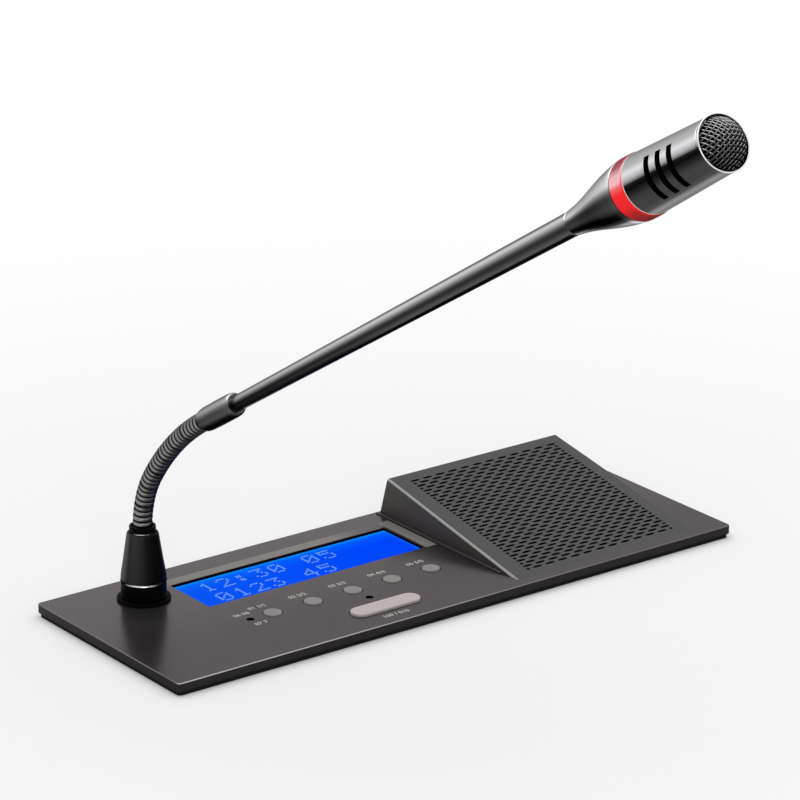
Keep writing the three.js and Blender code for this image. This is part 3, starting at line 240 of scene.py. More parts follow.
class Surface(Graph):
    """A material that is being put together from nodes."""

    def __init__(self, name: str) -> None:
        """Starts a material of this name with a principled shader and its output.

        Args:
            name: The material's name.
        """
        self.material = bpy.data.materials.new(name)
        self.material.use_nodes = True
        super().__init__(self.material.node_tree)
        self.shader = self.tree.nodes.new("ShaderNodeBsdfPrincipled")
        self.output = self.tree.nodes.new("ShaderNodeOutputMaterial")
        self.tree.links.new(self.shader.outputs["BSDF"], self.output.inputs["Surface"])

    def past(self, letter: str, level: float, soft: float) -> Value:
        """Masks what lies beyond a place on the panel.

        Args:
            letter: The axis, as X, Y or Z.
            level: The place along it, in the panel's millimetres.
            soft: The width over which the mask fades, in millimetres.

        Returns:
            0 before the place and 1 beyond it.
        """
        number = "XYZ".index(letter)
        along = self.node("ShaderNodeSeparateXYZ", {}, {0: self.where()}, letter)
        return along.above(place(level, level, level)[number], soft * MM)

    def span(self, letter: str, low: float, high: float, soft: float) -> Value:
        """Returns 1 between two places along an axis of the panel and 0 outside, as past() does."""
        return self.past(letter, low, soft) * (1.0 - self.past(letter, high, soft))

    def where(self) -> Value:
        """Returns the object coordinates."""
        return self.node("ShaderNodeTexCoord", {}, {}, "Object")

    def facing(self, direction: Point) -> Value:
        """Returns how far the surface faces a direction of the object, from -1 to 1."""
        inputs = {0: self.node("ShaderNodeTexCoord", {}, {}, "Normal"), 1: direction}
        return self.node("ShaderNodeVectorMath", {"operation": "DOT_PRODUCT"}, inputs, "Value")

    def ramp(self, share: Value, stops: Sequence[tuple[float, Colour]]) -> Value:
        """Returns the colour at a share of a run of colours."""
        return self.node("ShaderNodeValToRGB", {"stops": stops}, {"Fac": share}, "Color")

    def times(self, first: Any, second: Any) -> Value:
        """Returns the product of two colours."""
        settings = {"data_type": "RGBA", "blend_type": "MULTIPLY"}
        return self.node("ShaderNodeMix", settings, {0: 1.0, 6: first, 7: second}, 2)

    def noise(self, size: float, detail: float = 3.0, rough: float = 0.5) -> Value:
        """Returns cloudy noise.

        Args:
            size: The size of its features, in millimetres.
            detail: How many finer layers it has.
            rough: How strong they are.

        Returns:
            The noise, about 0.5.
        """
        fineness = {"Scale": 1.0 / (size * MM), "Detail": detail, "Roughness": rough}
        return self.node("ShaderNodeTexNoise", {}, {"Vector": self.where(), **fineness}, "Fac")

    def mix(self, factor: Any, first: Any, second: Any) -> Value:
        """Returns a blend of two colours."""
        return self.node("ShaderNodeMix", {"data_type": "RGBA"}, {0: factor, 6: first, 7: second}, 2)

    def bump(self, height: Any, depth: float) -> Value:
        """Returns a normal bent by a height from 0 to 1, where 1 stands for a depth in millimetres."""
        return self.node("ShaderNodeBump", {}, {"Height": height, "Distance": depth * MM})

    def dress(self, **sockets: Any) -> bpy.types.Material:
        """Sets the shader's sockets by name, with spaces as underscores.

        Args:
            sockets: A value or link for each socket.

        Returns:
            The finished material.
        """
        for name, value in sockets.items():
            self.put(self.shader.inputs[name.replace("_", " ")], value)
        return self.material


def grey(level: float) -> Colour:
    """Returns a grey of this level."""
    return (level, level, level)


def shaded(colour: Colour, share: float) -> Colour:
    """Returns a colour made lighter or darker by a share."""
    return tuple(channel * share for channel in colour)


@dataclass(frozen=True)
class Finish:
    """A coat, metal or moulding with slight colour drift and a fine grain.

    Attributes:
        name: The material's name.
        colour: Its linear colour.
        roughness: How dull it is.
        metallic: Whether it is a metal.
        gloss: The shader's specular level.
        drift: The share by which its colour wanders.
        drift_size: The size of the colour's clouds, in millimetres.
        grain_size: The size of the grain, in millimetres.
        grain_depth: The depth of the grain, in millimetres.
        smudge: How much the roughness wanders.
        edge_tint: A metal's colour at a glancing angle.
    """

    name: str
    colour: Colour
    roughness: float
    metallic: float = 0.0
    gloss: float = 0.5
    drift: float = 0.06
    drift_size: float = 18.0
    grain_size: float = 0.35
    grain_depth: float = 0.01
    smudge: float = 0.06
    edge_tint: Colour = WHITE

    def colour_field(self, surface: Surface) -> Value:
        """Returns the colour with its drift and speckle."""
        return self.drifted(surface, self.colour, 0.6)

    def drifted(self, surface: Surface, colour: Colour, cloudy: float) -> Value:
        """Returns a colour that wanders in clouds and specks.

        Args:
            surface: The material.
            colour: The colour about which it wanders.
            cloudy: The share of the clouds. The rest is the specks'.

        Returns:
            The wandering colour.
        """
        cloud = surface.noise(self.drift_size, 4.0)
        speck = surface.noise(self.grain_size * 1.6, 1.0)
        level = (cloud * cloudy + speck * (1.0 - cloudy)).limited()
        return surface.mix(level, shaded(colour, 1.0 - self.drift), shaded(colour, 1.0 + self.drift))

    def metal_field(self, surface: Surface) -> Any:
        """Returns how metallic the finish is."""
        return self.metallic

    def build(self) -> bpy.types.Material:
        """Builds the finish.

        Returns:
            The material.
        """
        surface = Surface(self.name)
        grain = surface.noise(self.grain_size, 2.0, 0.6)
        wander = surface.noise(self.drift_size * 0.7, 3.0) * (2.0 * self.smudge)
        surface.shader.inputs["Specular IOR Level"].default_value = self.gloss
        surface.shader.inputs["Specular Tint"].default_value = (*self.edge_tint, 1.0)
        return surface.dress(
            Base_Color=self.colour_field(surface),
            Roughness=(wander + (self.roughness - self.smudge)).limited(),
            Metallic=self.metal_field(surface),
            Normal=surface.bump(grain, self.grain_depth),
        )


@dataclass(frozen=True)
class PanelFinish(Finish):
    """The panel's coat, with painted light and shade: a sheen that makes its back paler, a reflection in
    a strip round the display, a highlight along its front and left edges, and shade on its walls.

    Attributes:
        back_share: The share by which the painted sheen makes the coat paler at the back.
        back_fade: Where it is halfway there, and over which width, in millimetres.
        strip: The colour of the painted reflection in the strip behind and beside the display.
        behind: The strip behind the display along Y and X: its start, its end and how softly it ends.
        beside: The strip beside the display, in the same way.
        rim: The colour of the painted highlight along the rounded front and left edges.
        inside: The panel within its outer edges, in the same way.
        wall_share: What is left of the coat's colour on the cut sides, as painted shade.
        opening_share: What is left of it on the walls of the openings, as painted shade.
        fading: Where the painted highlight ends towards the right, and over which width.
    """

    back_share: float = 1.44
    back_fade: tuple[float, float] = (46.0, 62.0)
    strip: Colour = (0.2, 0.188, 0.175)
    behind: tuple[Span, Span] = ((67.2, 71.4, 0.5), (38.0, 112.0, 22.0))
    beside: tuple[Span, Span] = ((44.6, 71.4, 0.6), (127.4, 131.7, 0.4))
    rim: Colour = (0.33, 0.32, 0.315)
    inside: tuple[Span, Span] = ((0.7, 79.3, 0.2), (0.7, 219.3, 0.2))
    wall_share: float = 0.3
    opening_share: float = 0.05
    fading: tuple[float, float] = (90.0, 150.0)

    def patch(self, surface: Surface, spans: tuple[Span, Span]) -> Value:
        """Returns 1 in a patch that is given by its spans along Y and X."""
        return surface.span("Y", *spans[0]) * surface.span("X", *spans[1])

    def strip_mask(self, surface: Surface) -> Value:
        """Returns 1 in the strip behind and beside the display."""
        return (self.patch(surface, self.behind) + self.patch(surface, self.beside)).limited()

    def metal_field(self, surface: Surface) -> Value:
        """Returns how metallic the coat is: dull in the strip of painted reflection."""
        return (1.0 - self.strip_mask(surface)) * self.metallic

    def colour_field(self, surface: Surface) -> Value:
        """Colours the coat, with the painted sheen, the strip's painted reflection, the painted
        highlight on the rim and the painted shade on the walls.

        Args:
            surface: The material.

        Returns:
            The colour.
        """
        # Painted sheen: the coat grows paler towards the back.
        paler = surface.mix(surface.past("Y", *self.back_fade), WHITE, shaded(WHITE, self.back_share))
        coat = surface.times(super().colour_field(surface), paler)
        # The strip behind and beside the display is a painted reflection.
        coat = surface.mix(self.strip_mask(surface), coat, self.strip)
        up, outside = surface.facing(UP), 1.0 - self.patch(surface, self.inside)
        # Painted shade: the cut sides are darker and the walls of the openings darker still.
        walls = (1.0 - up.above(0.4, 0.3)) * up.above(-0.6, 0.2)
        dark = surface.mix(outside, shaded(WHITE, self.opening_share), shaded(WHITE, self.wall_share))
        coat = surface.times(coat, surface.mix(walls, WHITE, dark))
        # Painted highlight along the rounded front and left edges, uneven, fading towards the right.
        rounding = up.within(0.1, 0.99, 0.03) * outside
        front = surface.facing((0.0, -1.0, 0.0)).above(0.25, 0.5)
        left = 1.0 - surface.past("X", *self.fading) * 0.85
        painted_rim_highlight = (surface.noise(9.0, 2.0) * 0.3 + front * 0.75) * left
        return surface.mix((rounding * painted_rim_highlight).limited(), coat, self.rim)


@dataclass(frozen=True)
class CoverFinish(Finish):
    """The speaker cover's coat, with a painted highlight along its left edge and painted light and shade
    down its walls.

    Attributes:
        edge_colour: The colour of the painted highlight along the left edge.
        wall: The tint of the coat at the top of the walls, lighter there as painted light.
        wall_foot: Its tint at their foot, darker there as painted shade.
        foot_fade: The height halfway between the two tints, and over which height they change.
    """

    edge_colour: Colour = (0.38, 0.372, 0.366)
    wall: Colour = (1.22, 1.14, 0.95)
    wall_foot: Colour = (0.74, 0.7, 0.64)
    foot_fade: tuple[float, float] = (3.5, 7.0)

    def colour_field(self, surface: Surface) -> Value:
        """Colours the coat, with the painted highlight on its left edge and the painted light and shade
        on its walls.

        Args:
            surface: The material.

        Returns:
            The colour.
        """
        up, left = surface.facing(UP), surface.facing(LEFT)
        # Painted light and shade down the walls: lighter at their top, darker at their foot.
        wall = surface.mix(surface.past("Z", *self.foot_fade), self.wall_foot, self.wall)
        tint = surface.mix(1.0 - up.above(0.45, 0.3), WHITE, wall)
        coat = surface.times(super().colour_field(surface), tint)
        # Painted highlight on the bevel between the top and the left wall.
        return surface.mix(left.within(0.2, 0.93, 0.1) * up.above(0.3, 0.3), coat, self.edge_colour)


@dataclass(frozen=True)
class Banded(Finish):
    """A finish with painted light: bands of grey, painted highlights and painted shade, that run from
    its underside to the side that faces the lamp.

    Attributes:
        toward: The direction of the lamp whose light is painted.
        bands: The share of the way round and the level of grey of each band of painted light.
        warmth: The tint of every band.
    """

    toward: Point = LAMP_SIDE
    bands: tuple[tuple[float, float], ...] = ((0.0, 0.1), (1.0, 0.5))
    warmth: Colour = WHITE

    def colour_field(self, surface: Surface) -> Value:
        """Paints the bands of light and shade, with the finish's drift and speckle.

        Args:
            surface: The material.

        Returns:
            The colour.
        """
        around = surface.facing(self.toward) * 0.5 + 0.5
        stops = [(share, shaded(self.warmth, level)) for share, level in self.bands]
        return surface.times(surface.ramp(around, stops), self.drifted(surface, WHITE, 0.5))


@dataclass(frozen=True)
class RibbedFinish(Finish):
    """The winding's wire, with a painted highlight on the crest of each turn, painted shade in the
    grooves and painted shade on the side away from the light.

    Attributes:
        toward: The side towards the light, left out of the painted shade.
        groove: The colour of the painted shade in the grooves.
        shade: What is left of the colour on the far side, as painted shade.
        crest: The rib's height, as a share, where its painted highlight starts, and how softly.
    """

    toward: Point = (-0.84, -0.45, 0.3)
    groove: Colour = grey(0.004)
    shade: float = 0.2
    crest: tuple[float, float] = (0.82, 0.34)

    def colour_field(self, surface: Surface) -> Value:
        """Paints light and shade on the wire by its height over the groove and the side it faces.

        Args:
            surface: The material.

        Returns:
            The colour.
        """
        height = surface.node("ShaderNodeAttribute", {"attribute_name": RIB_LAYER}, {}, "Fac")
        lit = surface.facing(self.toward).above(0.3, 0.9)
        shade = surface.mix(lit, shaded(WHITE, self.shade), WHITE)
        wire = surface.times(super().colour_field(surface), shade)
        return surface.mix(height.above(*self.crest), self.groove, wire)


@dataclass(frozen=True)
class SeamFinish(Finish):
    """A plated seam with a painted highlight to the front and painted shade at its sides.

    Attributes:
        toward: The side where the highlight is painted.
        shine: How far it has to face that side, and how softly the painted highlight ends.
        dark_share: What is left of the colour elsewhere, as painted shade.
    """

    toward: Point = (-0.66, -0.75, 0.0)
    shine: tuple[float, float] = (0.76, 0.4)
    dark_share: float = 0.012

    def colour_field(self, surface: Surface) -> Value:
        """Returns the plating's colour, with its painted highlight to the front and painted shade
        elsewhere.
        """
        shine = surface.facing(self.toward).above(*self.shine)
        return surface.mix(shine, shaded(self.colour, self.dark_share), super().colour_field(surface))


@dataclass(frozen=True)
class BlueWindow:
    """The backlit display window, paler along its back and right edges.

    Attributes:
        name: The material's name.
        blue: The backlight's colour at the left end.
        far_blue: Its colour at the right end.
        blue_fade: Where it is halfway between them, and over which width, in millimetres.
        edge: The colour where the light leaks in at the edges.
        rear: Where it leaks in at the back edge, and over which width.
        right: Where it leaks in at the right edge.
        glow: Where a weak light leaks in further from the back edge.
    """

    name: str = "backlit_window"
    blue: Colour = (0.003, 0.088, 0.9)
    far_blue: Colour = (0.0, 0.06, 0.96)
    blue_fade: tuple[float, float] = (84.0, 84.0)
    edge: Colour = (0.0, 0.3, 1.0)
    rear: tuple[float, float] = (65.9, 2.6)
    right: tuple[float, float] = (126.2, 2.6)
    glow: tuple[float, float] = (62.5, 9.0)

    def build(self) -> bpy.types.Material:
        """Builds the window's finish.

        Returns:
            The material.
        """
        surface = Surface(self.name)
        rear, right = surface.past("Y", *self.rear), surface.past("X", *self.right) * 0.7
        glow = surface.past("Y", *self.glow) * 0.25
        leak = (rear + right + glow).limited() * (surface.noise(14, 2.0) * 0.4 + 0.7)
        deep = surface.mix(surface.past("X", *self.blue_fade), self.blue, self.far_blue)
        surface.shader.inputs["Specular IOR Level"].default_value = 0.0
        surface.shader.inputs["Emission Strength"].default_value = 1.0
        return surface.dress(
            Base_Color=(0.0, 0.001, 0.004),
            Roughness=0.2,
            Emission_Color=surface.mix(leak.limited(), deep, self.edge),
        )


@dataclass(frozen=True)
class Glow:
    """A frosted plastic lit from inside, with a painted reflection and painted shade where it has bands.

    Attributes:
        name: The material's name.
        light: The light's colour.
        body: The plastic's own colour.
        strength: The light's strength.
        roughness: How dull the plastic is.
        gloss: The shader's specular level.
        toward: The direction of the lamp whose reflection is painted into the light.
        bands: The share of the way round and the tint of each band of painted reflection and shade.
    """

    name: str
    light: Colour
    body: Colour
    strength: float = 0.8
    roughness: float = 0.3
    gloss: float = 0.5
    toward: Point = LAMP_SIDE
    bands: tuple[tuple[float, Colour], ...] = ()

    def light_field(self, surface: Surface) -> Value:
        """Colours the light, with bands of painted reflection and shade where the plastic has them.

        Args:
            surface: The material.

        Returns:
            The colour.
        """
        steady = surface.mix(surface.noise(5.0, 3.0), shaded(self.light, 0.9), self.light)
        if not self.bands:
            return steady
        return surface.times(steady, surface.ramp(surface.facing(self.toward) * 0.5 + 0.5, self.bands))

    def build(self) -> bpy.types.Material:
        """Builds the lit plastic's finish.

        Returns:
            The material.
        """
        surface = Surface(self.name)
        cloud = surface.noise(5.0, 3.0)
        surface.shader.inputs["Specular IOR Level"].default_value = self.gloss
        surface.shader.inputs["Emission Strength"].default_value = self.strength
        return surface.dress(
            Base_Color=surface.mix(cloud, shaded(self.body, 0.9), shaded(self.body, 1.1)),
            Roughness=self.roughness,
            Emission_Color=self.light_field(surface),
            Normal=surface.bump(surface.noise(0.6, 2.0), 0.01),
        )


@dataclass(frozen=True)
class Brushed(Finish):
    """Rolled sheet metal with fine lines along X.

    Attributes:
        line_length: The lines' length, in millimetres.
        line_width: Their width, in millimetres.
    """

    line_length: float = 30.0
    line_width: float = 0.25

    def colour_field(self, surface: Surface) -> Value:
        """Colours the metal, with its lines.

        Args:
            surface: The material.

        Returns:
            The colour.
        """
        scale = (1 / (self.line_length * MM), 1 / (self.line_width * MM), 1 / (self.line_width * MM))
        lines = surface.node("ShaderNodeMapping", {}, {"Vector": surface.where(), "Scale": scale})
        inputs = {"Vector": lines, "Scale": 1.0, "Detail": 2.0}
        grain = surface.node("ShaderNodeTexNoise", {}, inputs, "Fac")
        return surface.mix(grain, shaded(self.colour, 0.85), shaded(self.colour, 1.15))


def painted_light_metal(
    name: str,
    roughness: float,
    *bands: tuple[float, float],
    grain: float = 0.0008,
    warmth: Colour = WHITE,
) -> Banded:
    """Makes the finish of a metal whose highlights and shade are painted in bands.

    Args:
        name: The material's name.
        roughness: How dull it is.
        bands: The share of the way round and the level of grey of each band of painted light.
        grain: The depth of its grain, in millimetres.
        warmth: The tint of every band.

    Returns:
        The finish.
    """
    metal = {"metallic": 1.0, "grain_depth": grain, "edge_tint": grey(0.3)}
    return Banded(name, grey(0.1), roughness, bands=bands, warmth=warmth, **metal)


class Coats(Enum):
    """Every finish of the unit."""

    PANEL = PanelFinish(
        "satin_panel_coat", (0.088, 0.0815, 0.083), 0.22, 0.85,
        gloss=0.05, grain_depth=0.002, edge_tint=(0.64, 0.61, 0.62),
    )
    COVER = CoverFinish("satin_cover_coat", (0.076, 0.073, 0.074), 0.36, gloss=0.05, grain_depth=0.008)
    LIP = Finish("cover_lip_coat", (0.06, 0.058, 0.058), 0.4, gloss=0.05, grain_depth=0.008)
    MATT_BLACK = Finish("matt_black", grey(0.0015), 0.6, gloss=0.02, grain_depth=0.004)
    COLLAR = Finish("collar_black", grey(0.0015), 0.3, gloss=0.02, grain_depth=0.0015)
    # The black sleeve carries painted light: a lighter streak on one side and painted shade underneath.
    SLEEVE = Banded(
        "sleeve_black", grey(0.01), 0.3, gloss=0.02, grain_depth=0.001, toward=(-0.8, 0.6, 0.0),
        bands=((0.0, 0.002), (0.2, 0.003), (0.38, 0.01), (0.5, 0.025), (0.7, 0.042), (0.84, 0.03),
               (0.93, 0.105), (1.0, 0.05)),
    )
    # The rod, ferrule, head, rim and wires carry painted highlights and painted shade in bands.
    ROD = painted_light_metal(
        "rod_painted_light", 0.22, (0.0, 0.03), (0.06, 0.055), (0.12, 0.02), (0.2, 0.13), (0.29, 0.085),
        (0.34, 0.06), (0.4, 0.042), (0.45, 0.032), (0.51, 0.046), (0.57, 0.085), (0.62, 0.165),
        (0.69, 0.31), (0.75, 0.49), (0.81, 0.7), (0.87, 0.74), (0.94, 0.32), (1.0, 0.16),
    )
    FERRULE = painted_light_metal(
        "ferrule_painted_light", 0.26, (0.0, 0.02), (0.07, 0.035), (0.16, 0.04), (0.36, 0.09), (0.56, 0.07),
        (0.68, 0.15), (0.82, 0.46), (0.92, 0.42), (1.0, 0.12), grain=0.001,
    )
    HEAD_REAR = painted_light_metal(
        "head_rear_painted_light", 0.22, (0.0, 0.8), (0.08, 0.95), (0.14, 0.11), (0.21, 0.028), (0.29, 0.024),
        (0.36, 0.055), (0.42, 0.072), (0.49, 0.06), (0.55, 0.05), (0.6, 0.075), (0.64, 0.17),
        (0.686, 0.38), (0.73, 0.72), (0.78, 0.78), (0.86, 0.74), (0.926, 0.62), (1.0, 0.36),
    )
    HEAD_FRONT = painted_light_metal(
        "head_front_painted_light", 0.2, (0.0, 0.5), (0.06, 0.5), (0.12, 0.12), (0.2, 0.066), (0.3, 0.062),
        (0.38, 0.05), (0.45, 0.022), (0.54, 0.005), (0.605, 0.012), (0.67, 0.42), (0.765, 0.82),
        (0.85, 0.56), (0.93, 0.6), (1.0, 0.72), warmth=(1.0, 1.0, 1.02),
    )
    WIRES = painted_light_metal(
        "mesh_wire", 0.25, (0.0, 0.015), (0.4, 0.04), (0.56, 0.1), (0.68, 0.3), (0.8, 0.26), (0.9, 0.08),
        (1.0, 0.05),
    )
    # The winding carries a painted highlight on its crests and painted shade in its grooves and far
    # side.
    WINDING = RibbedFinish(
        "dark_winding", (0.25, 0.247, 0.248), 0.3, 1.0, grain_depth=0.002, edge_tint=grey(0.3)
    )
    GUNMETAL = Finish(
        "polished_gunmetal", (0.055, 0.055, 0.06), 0.24, 1.0,
        grain_depth=0.001, edge_tint=(0.5, 0.5, 0.52),
    )
    PLUG = Finish("plug_nickel", (0.4, 0.4, 0.41), 0.3, 1.0, grain_depth=0.001)
    BRIGHT = Finish("bright_plating", (0.72, 0.72, 0.73), 0.12, 1.0, grain_depth=0.0008)
    # The seam beads carry a painted highlight to the front and painted shade at their sides.
    SEAM = SeamFinish(
        "seam_painted_glint", (0.86, 0.86, 0.87), 0.15, 1.0, grain_depth=0.0005, edge_tint=grey(0.1)
    )
    SHEET = Brushed("zinc_sheet", (0.3, 0.31, 0.32), 0.42, 0.9)
    KEY = Finish("key_moulding", (0.24, 0.23, 0.226), 0.5, gloss=0.1, grain_size=0.25, grain_depth=0.012)
    TALK = Finish(
        "talk_bar_moulding", (0.5, 0.445, 0.44), 0.5, gloss=0.1, grain_size=0.25, grain_depth=0.008
    )
    MOULDED_BLACK = Finish("moulded_black", (0.012, 0.012, 0.013), 0.5, gloss=0.4, grain_depth=0.015)
    BOARD = Finish("solder_mask", (0.014, 0.083, 0.037), 0.35, drift=0.2, drift_size=2.0)
    FOAM = Finish("cellular_foam", grey(0.012), 0.95, gloss=0.1, grain_size=0.5, grain_depth=0.15)
    CONE = Finish("coated_paper", (0.02, 0.02, 0.022), 0.8, gloss=0.2, grain_size=0.6, grain_depth=0.05)
    CLOTH = Finish("dust_cloth", grey(0.002), 0.95, gloss=0.02, grain_size=0.3, grain_depth=0.05)
    LABEL = Finish("label_print", (0.45, 0.43, 0.4), 0.6, gloss=0.05)
    HOLE_LAMP = Finish("dark_lamp", (0.07, 0.064, 0.062), 0.3, gloss=0.1)
    WINDOW = BlueWindow()
    DIGITS = Glow("display_digits", (0.17, 0.38, 0.97), grey(0.0), 1.0, 0.9, 0.0)
    # The red ring's bands paint a pale reflection of the lamp on its upper side and shade underneath.
    RED_RING = Glow(
        "lit_red_ring", WHITE, (0.03, 0.001, 0.001), 0.95, 0.28, 0.0,
        bands=((0.0, (0.15, 0.02, 0.02)), (0.08, (0.22, 0.03, 0.03)), (0.2, (0.45, 0.02, 0.02)),
               (0.32, (0.85, 0.025, 0.03)), (0.54, (1.0, 0.03, 0.035)), (0.63, (0.9, 0.14, 0.15)),
               (0.7, (0.98, 0.55, 0.58)), (0.8, (0.92, 0.52, 0.54)), (0.9, (0.4, 0.12, 0.14)),
               (1.0, (0.3, 0.05, 0.06))),
    )


class Paintbox:
    """Builds each finish once and hands it out."""

    def __init__(self) -> None:
        """Starts with no material built."""
        self.made: dict[Coats, bpy.types.Material] = {}

    def get(self, coat: Coats) -> bpy.types.Material:
        """Builds a finish the first time, and keeps it.

        Args:
            coat: The finish.

        Returns:
            Its material.
        """
        if coat not in self.made:
            self.made[coat] = coat.value.build()
        return self.made[coat]


def linked(name: str, data: bpy.types.ID) -> Piece:
    """Makes an object of a mesh, curve, light or camera and puts it into the scene.

    Args:
        name: The object's name.
        data: The mesh, curve, light or camera.

    Returns:
        The object.
    """
    made = bpy.data.objects.new(name, data)
    bpy.context.scene.collection.objects.link(made)
    return made


class Workshop:
    """Turns meshes into dressed pieces that ride on the frame."""

    def __init__(self, paints: Paintbox, nodes: Mapping[str, Piece]) -> None:
        """Keeps the finishes and the frame's nodes."""
        self.paints = paints
        self.nodes = nodes

    def object_of(self, name: str, shape: Shape, coat: Coats | None = None) -> Piece:
        """Makes an object from a mesh and frees the mesh.

        Args:
            name: The object's name.
            shape: Its mesh, in the frame.
            coat: Its finish, if it has one.

        Returns:
            The object, at the origin.
        """
        mesh = bpy.data.meshes.new(name)
        shape.to_mesh(mesh)
        shape.free()
        made = linked(name, mesh)
        if coat is not None:
            mesh.materials.append(self.paints.get(coat))
        return made

    def smooth(self, piece: Piece, angle: float = 32.0) -> None:
        """Shades a piece smoothly up to an angle, in degrees."""
        piece.data.shade_smooth()
        piece.data.set_sharp_from_angle(angle=math.radians(angle))

    def piece(
        self,
        name: str,
        shape: Shape,
        coat: Coats,
        body: str | None,
        slot: str,
        replaces: Sequence[str] = (),
        angle: float = 32.0,
    ) -> Piece:
        """Makes a finished piece.

        Args:
            name: The piece's name.
            shape: Its mesh, in the frame.
            coat: Its finish.
            body: The body that it rides on, or None to leave it on no body.
            slot: The record's material slot.
            replaces: The frame's nodes that it stands for.
            angle: The angle up to which it is shaded smoothly.

        Returns:
            The piece.
        """
        made = self.object_of(name, shape, coat)
        self.smooth(made, angle)
        self.settle(made, body, slot, replaces)
        return made

    def settle(self, made: Piece, body: str | None, slot: str, replaces: Sequence[str] = ()) -> None:
        """Puts a piece on its body and hides the frame's nodes that it stands for.

        Args:
            made: The piece.
            body: The body that it rides on, or None to leave it on no body.
            slot: Not used.
            replaces: The frame's nodes that it stands for.
        """
        if body is not None:
            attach(made, body)
        if replaces:
            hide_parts(*replaces)
        log.info("%s: %d faces", made.name, len(made.data.polygons))

    def settle_mesh(self, piece: Piece) -> None:
        """Replaces a piece's mesh by what its modifiers make of it.

        Args:
            piece: The piece.
        """
        graph = bpy.context.evaluated_depsgraph_get()
        mesh = bpy.data.meshes.new_from_object(piece.evaluated_get(graph))
        piece.modifiers.clear()
        piece.data = mesh

    def cut(self, base: Piece, *tools: Piece, joined: bool = False) -> Piece:
        """Cuts tools out of a piece, or joins them to it, and removes the tools.

        Args:
            base: The piece that is kept.
            tools: The pieces that are taken away or added. Cut faces take their finish, if there is one.
            joined: Whether they are added.

        Returns:
            The base, with its new mesh.
        """
        for tool in tools:
            step = base.modifiers.new("cut", "BOOLEAN")
            step.operation = "UNION" if joined else "DIFFERENCE"
            step.solver = "EXACT"
            step.material_mode = "TRANSFER" if tool.data.materials else "INDEX"
            step.object = tool
        self.settle_mesh(base)
        for tool in tools:
            bpy.data.objects.remove(tool)
        return base

    def even(self, piece: Piece, angle: float) -> None:
        """Shades a cut piece by its large faces, so that the cuts leave no streaks.

        Args:
            piece: The piece.
            angle: The angle up to which it is shaded smoothly, in degrees.
        """
        self.smooth(piece, angle)
        step = piece.modifiers.new("even", "WEIGHTED_NORMAL")
        step.keep_sharp = True
        step.weight = 100
        self.settle_mesh(piece)

    def dress(self, coat: Coats, *names: str) -> None:
        """Gives nodes of the frame a finish.

        Args:
            coat: The finish.
            names: The nodes' names.
        """
        for name in names:
            materials = self.nodes[name].data.materials
            materials.clear()
            materials.append(self.paints.get(coat))


def spun(profile: Profile, steps: int = ROUND, ring: bool = False) -> Shape:
    """Spins a profile about Z.

    Args:
        profile: Radius and height of each point.
        steps: The number of steps to a full circle.
        ring: Whether the profile closes on itself.

    Returns:
        The closed shape.
    """
    shape = bmesh.new()
    corners = [shape.verts.new((radius, 0, height)) for radius, height in profile]
    pairs = list(zip(corners, corners[1:]))
    if ring:
        pairs.append((corners[-1], corners[0]))
    edges = [shape.edges.new(pair) for pair in pairs]
    circle = {"cent": (0, 0, 0), "axis": UP, "angle": math.tau, "steps": steps}
    bmesh.ops.spin(shape, geom=corners + edges, use_merge=True, **circle)
    bmesh.ops.remove_doubles(shape, verts=shape.verts, dist=1e-6)
    bmesh.ops.recalc_face_normals(shape, faces=shape.faces)
    return shape


def rounded(shape: Shape, edges: Sequence[bmesh.types.BMEdge], width: float, steps: int) -> Shape:
    """Rounds some of a shape's edges.

    Args:
        shape: The shape.
        edges: The edges that are rounded.
        width: The width of the rounding, in the shape's own units.
        steps: Its number of faces.

    Returns:
        The same shape.
    """
    how = {"profile": 0.5, "affect": "EDGES", "clamp_overlap": True, "material": -1}
    bmesh.ops.bevel(shape, geom=edges, offset=width, segments=steps, **how)
    return shape


def peg(radius: float, low: float, high: float, steps: int = COARSE) -> Shape:
    """Returns a round peg about Z between two heights."""
    return spun([(0, low), (radius, low), (radius, high), (0, high)], steps)


def tube(bore: float, radius: float, low: float, high: float, steps: int = ROUND) -> Shape:
    """Returns a round tube about Z between two heights."""
    return spun([(bore, low), (radius, low), (radius, high), (bore, high)], steps, ring=True)


def eased(shape: Shape, width: float, steps: int = 2, sharper_than: float = 30.0) -> Shape:
    """Rounds a shape's sharp edges.

    Args:
        shape: The shape.
        width: The width of the rounding, in the shape's own units.
        steps: Its number of faces.
        sharper_than: The angle above which an edge is rounded, in degrees.

    Returns:
        The same shape.
    """
    limit = math.radians(sharper_than)
    edges = [e for e in shape.edges if len(e.link_faces) == 2 and e.calc_face_angle(0.0) > limit]
    return rounded(shape, edges, width, steps)


def set_at(shape: Shape, matrix: Matrix) -> Shape:
    """Moves a shape to its place and returns it."""
    bmesh.ops.transform(shape, matrix=matrix, verts=shape.verts)
    return shape


def block(low: Point, high: Point) -> Shape:
    """Makes a block between two corners.

    Args:
        low: Its left, front, lower corner.
        high: Its right, back, upper corner.

    Returns:
        The block.
    """
    shape = bmesh.new()
    size = Vector(high) - Vector(low)
    middle = (Vector(high) + Vector(low)) / 2
    matrix = Matrix.Translation(middle) @ Matrix.Diagonal((*size, 1.0))
    bmesh.ops.create_cube(shape, size=1.0, matrix=matrix)
    return shape


